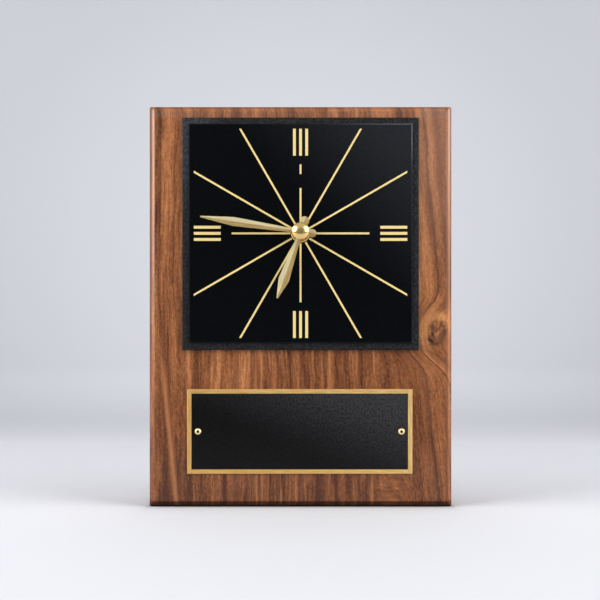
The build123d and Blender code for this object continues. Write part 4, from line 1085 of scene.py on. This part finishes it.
def paper_tone(start, x, y, z):
    """White floor, painted darker further back, and a grey wall with painted light near the middle and
    painted shade in its bend.
    """
    above = z - GLOW_UP
    # Painted light: the wall is lighter near the middle.
    glow = start.maths("SQRT", x * x * GLOW_FLAT + above * above).step(GLOW_EDGE, GLOW_HEART)
    wall_grey = glow.tint(paint(162, 163, 168), paint(184, 185, 191))
    # Painted shade in the bend of the wall.
    wall_grey = (z.step(65.0, 15.0) * 0.42).tint(wall_grey, paint(146, 147, 152))
    # Painted shade: the floor is darker further back.
    floor_white = y.step(300.0, -20.0).tint(paint(200, 201, 205), paint(210, 211, 215))
    return y.step(COVE_BACK - 5.0, COVE_BACK + 55.0).tint(floor_white, wall_grey)


def contact_shade(start, x, y):
    """Painted contact shadow: two falling powers of e, of the distance from the board's foot."""
    middle = (BOARD_FRONT + BEVEL + board_high[1]) / 2
    aside = start.maths("MAXIMUM", start.maths("ABSOLUTE", x) - board_high[0], 0.0) * SHADE_ASIDE
    before = start.maths("MAXIMUM", start.maths("ABSOLUTE", y - middle) - (board_high[1] - middle), 0.0)
    gap = start.maths("SQRT", aside * aside + before * before)
    shade = 0.0
    for fall, depth in CONTACT_SHADES:
        shade = shade + start.maths("EXPONENT", gap * fall) * depth
    return shade


def cove_paper():
    """Pale paper with its contact shade, dark to mirrors where it lies out of the picture."""
    material, shader, start = start_finish("cove_paper", roughness=0.9, specular_ior_level=0.1)
    x, y, z = millimetres(start)
    paper = contact_shade(start, x, y).tint(paper_tone(start, x, y, z), paint(40, 38, 38))
    unseen = y.step(NEAR_SHOWN, NEAR_SHOWN - NEAR_FADE) * start.node("LightPath", output="Is Glossy Ray")
    start.connect(shader, {"Base Color": unseen.tint(paper, paint(20, 20, 20))})
    return material


dress(cove_paper(), "cove")

# %% [markdown]
# Two large soft boxes stand left and right of the camera, high and well to the side. They draw the two
# white patches on the cap nut, and the bright lines along the bevels together with the painted highlight
# lines.
# The left one is a little stronger.

# %% Set up the soft boxes
BOX_ASIDE, BOX_BEFORE, BOX_UP, BOX_SIDE = 930, -330, 520, 800
BOX_AIM = np.array([0, 0, 110])


def soft_box(name, place, power):
    """Square area lamp at a place, in millimetres, turned towards the clock."""
    lamp = bpy.data.lights.new(name, "AREA")
    lamp.shape = "RECTANGLE"
    lamp.size = lamp.size_y = BOX_SIDE * MM
    lamp.energy = power
    made = bpy.data.objects.new(name, lamp)
    bpy.context.scene.collection.objects.link(made)
    made.location = np.array(place) * MM
    made.rotation_euler = Vector(BOX_AIM - np.array(place)).to_track_quat("-Z", "Y").to_euler()
    print(name, "at", place, "mm,", power, "W")


soft_box("left_box", (-BOX_ASIDE, BOX_BEFORE, BOX_UP), 14.8)
soft_box("right_box", (BOX_ASIDE, BOX_BEFORE, BOX_UP), 14.0)

# %% [markdown]
# A grey room fills the shadows. Mirrors see it another way: dark round the camera and grey elsewhere, as a
# studio looks in polished brass. A Light Path node tells the two kinds of rays apart.

# %% Fill the room with light
ROOM_LIGHT, ROOM_DARK, ROOM_GREY = 0.36, 0.04, 0.45
ROOM_TINT = (0.97, 0.98, 1.0, 1.0)
CAMERA_SIDE = (-0.93, -0.7)
world = bpy.data.worlds.new("room")
world.use_nodes = True
room = Wire(world.node_tree)
mirrored = room.node("LightPath", output="Is Glossy Ray")
facing = room.node("SeparateXYZ", {}, {0: room.node("TexCoord", output="Generated")}, output="Y")
seen = ROOM_DARK + facing.step(*CAMERA_SIDE) * (ROOM_GREY - ROOM_DARK)
room.connect(world.node_tree.nodes["Background"], {
    "Color": ROOM_TINT,
    "Strength": ROOM_LIGHT + mirrored * (seen - ROOM_LIGHT),
})
bpy.context.scene.world = world
bpy.context.scene.view_settings.view_transform = "Standard"
print("room light", ROOM_LIGHT, "and in mirrors from", ROOM_DARK, "to", ROOM_GREY)

# %% [markdown]
# The visual model has to stay in the solids' own box.
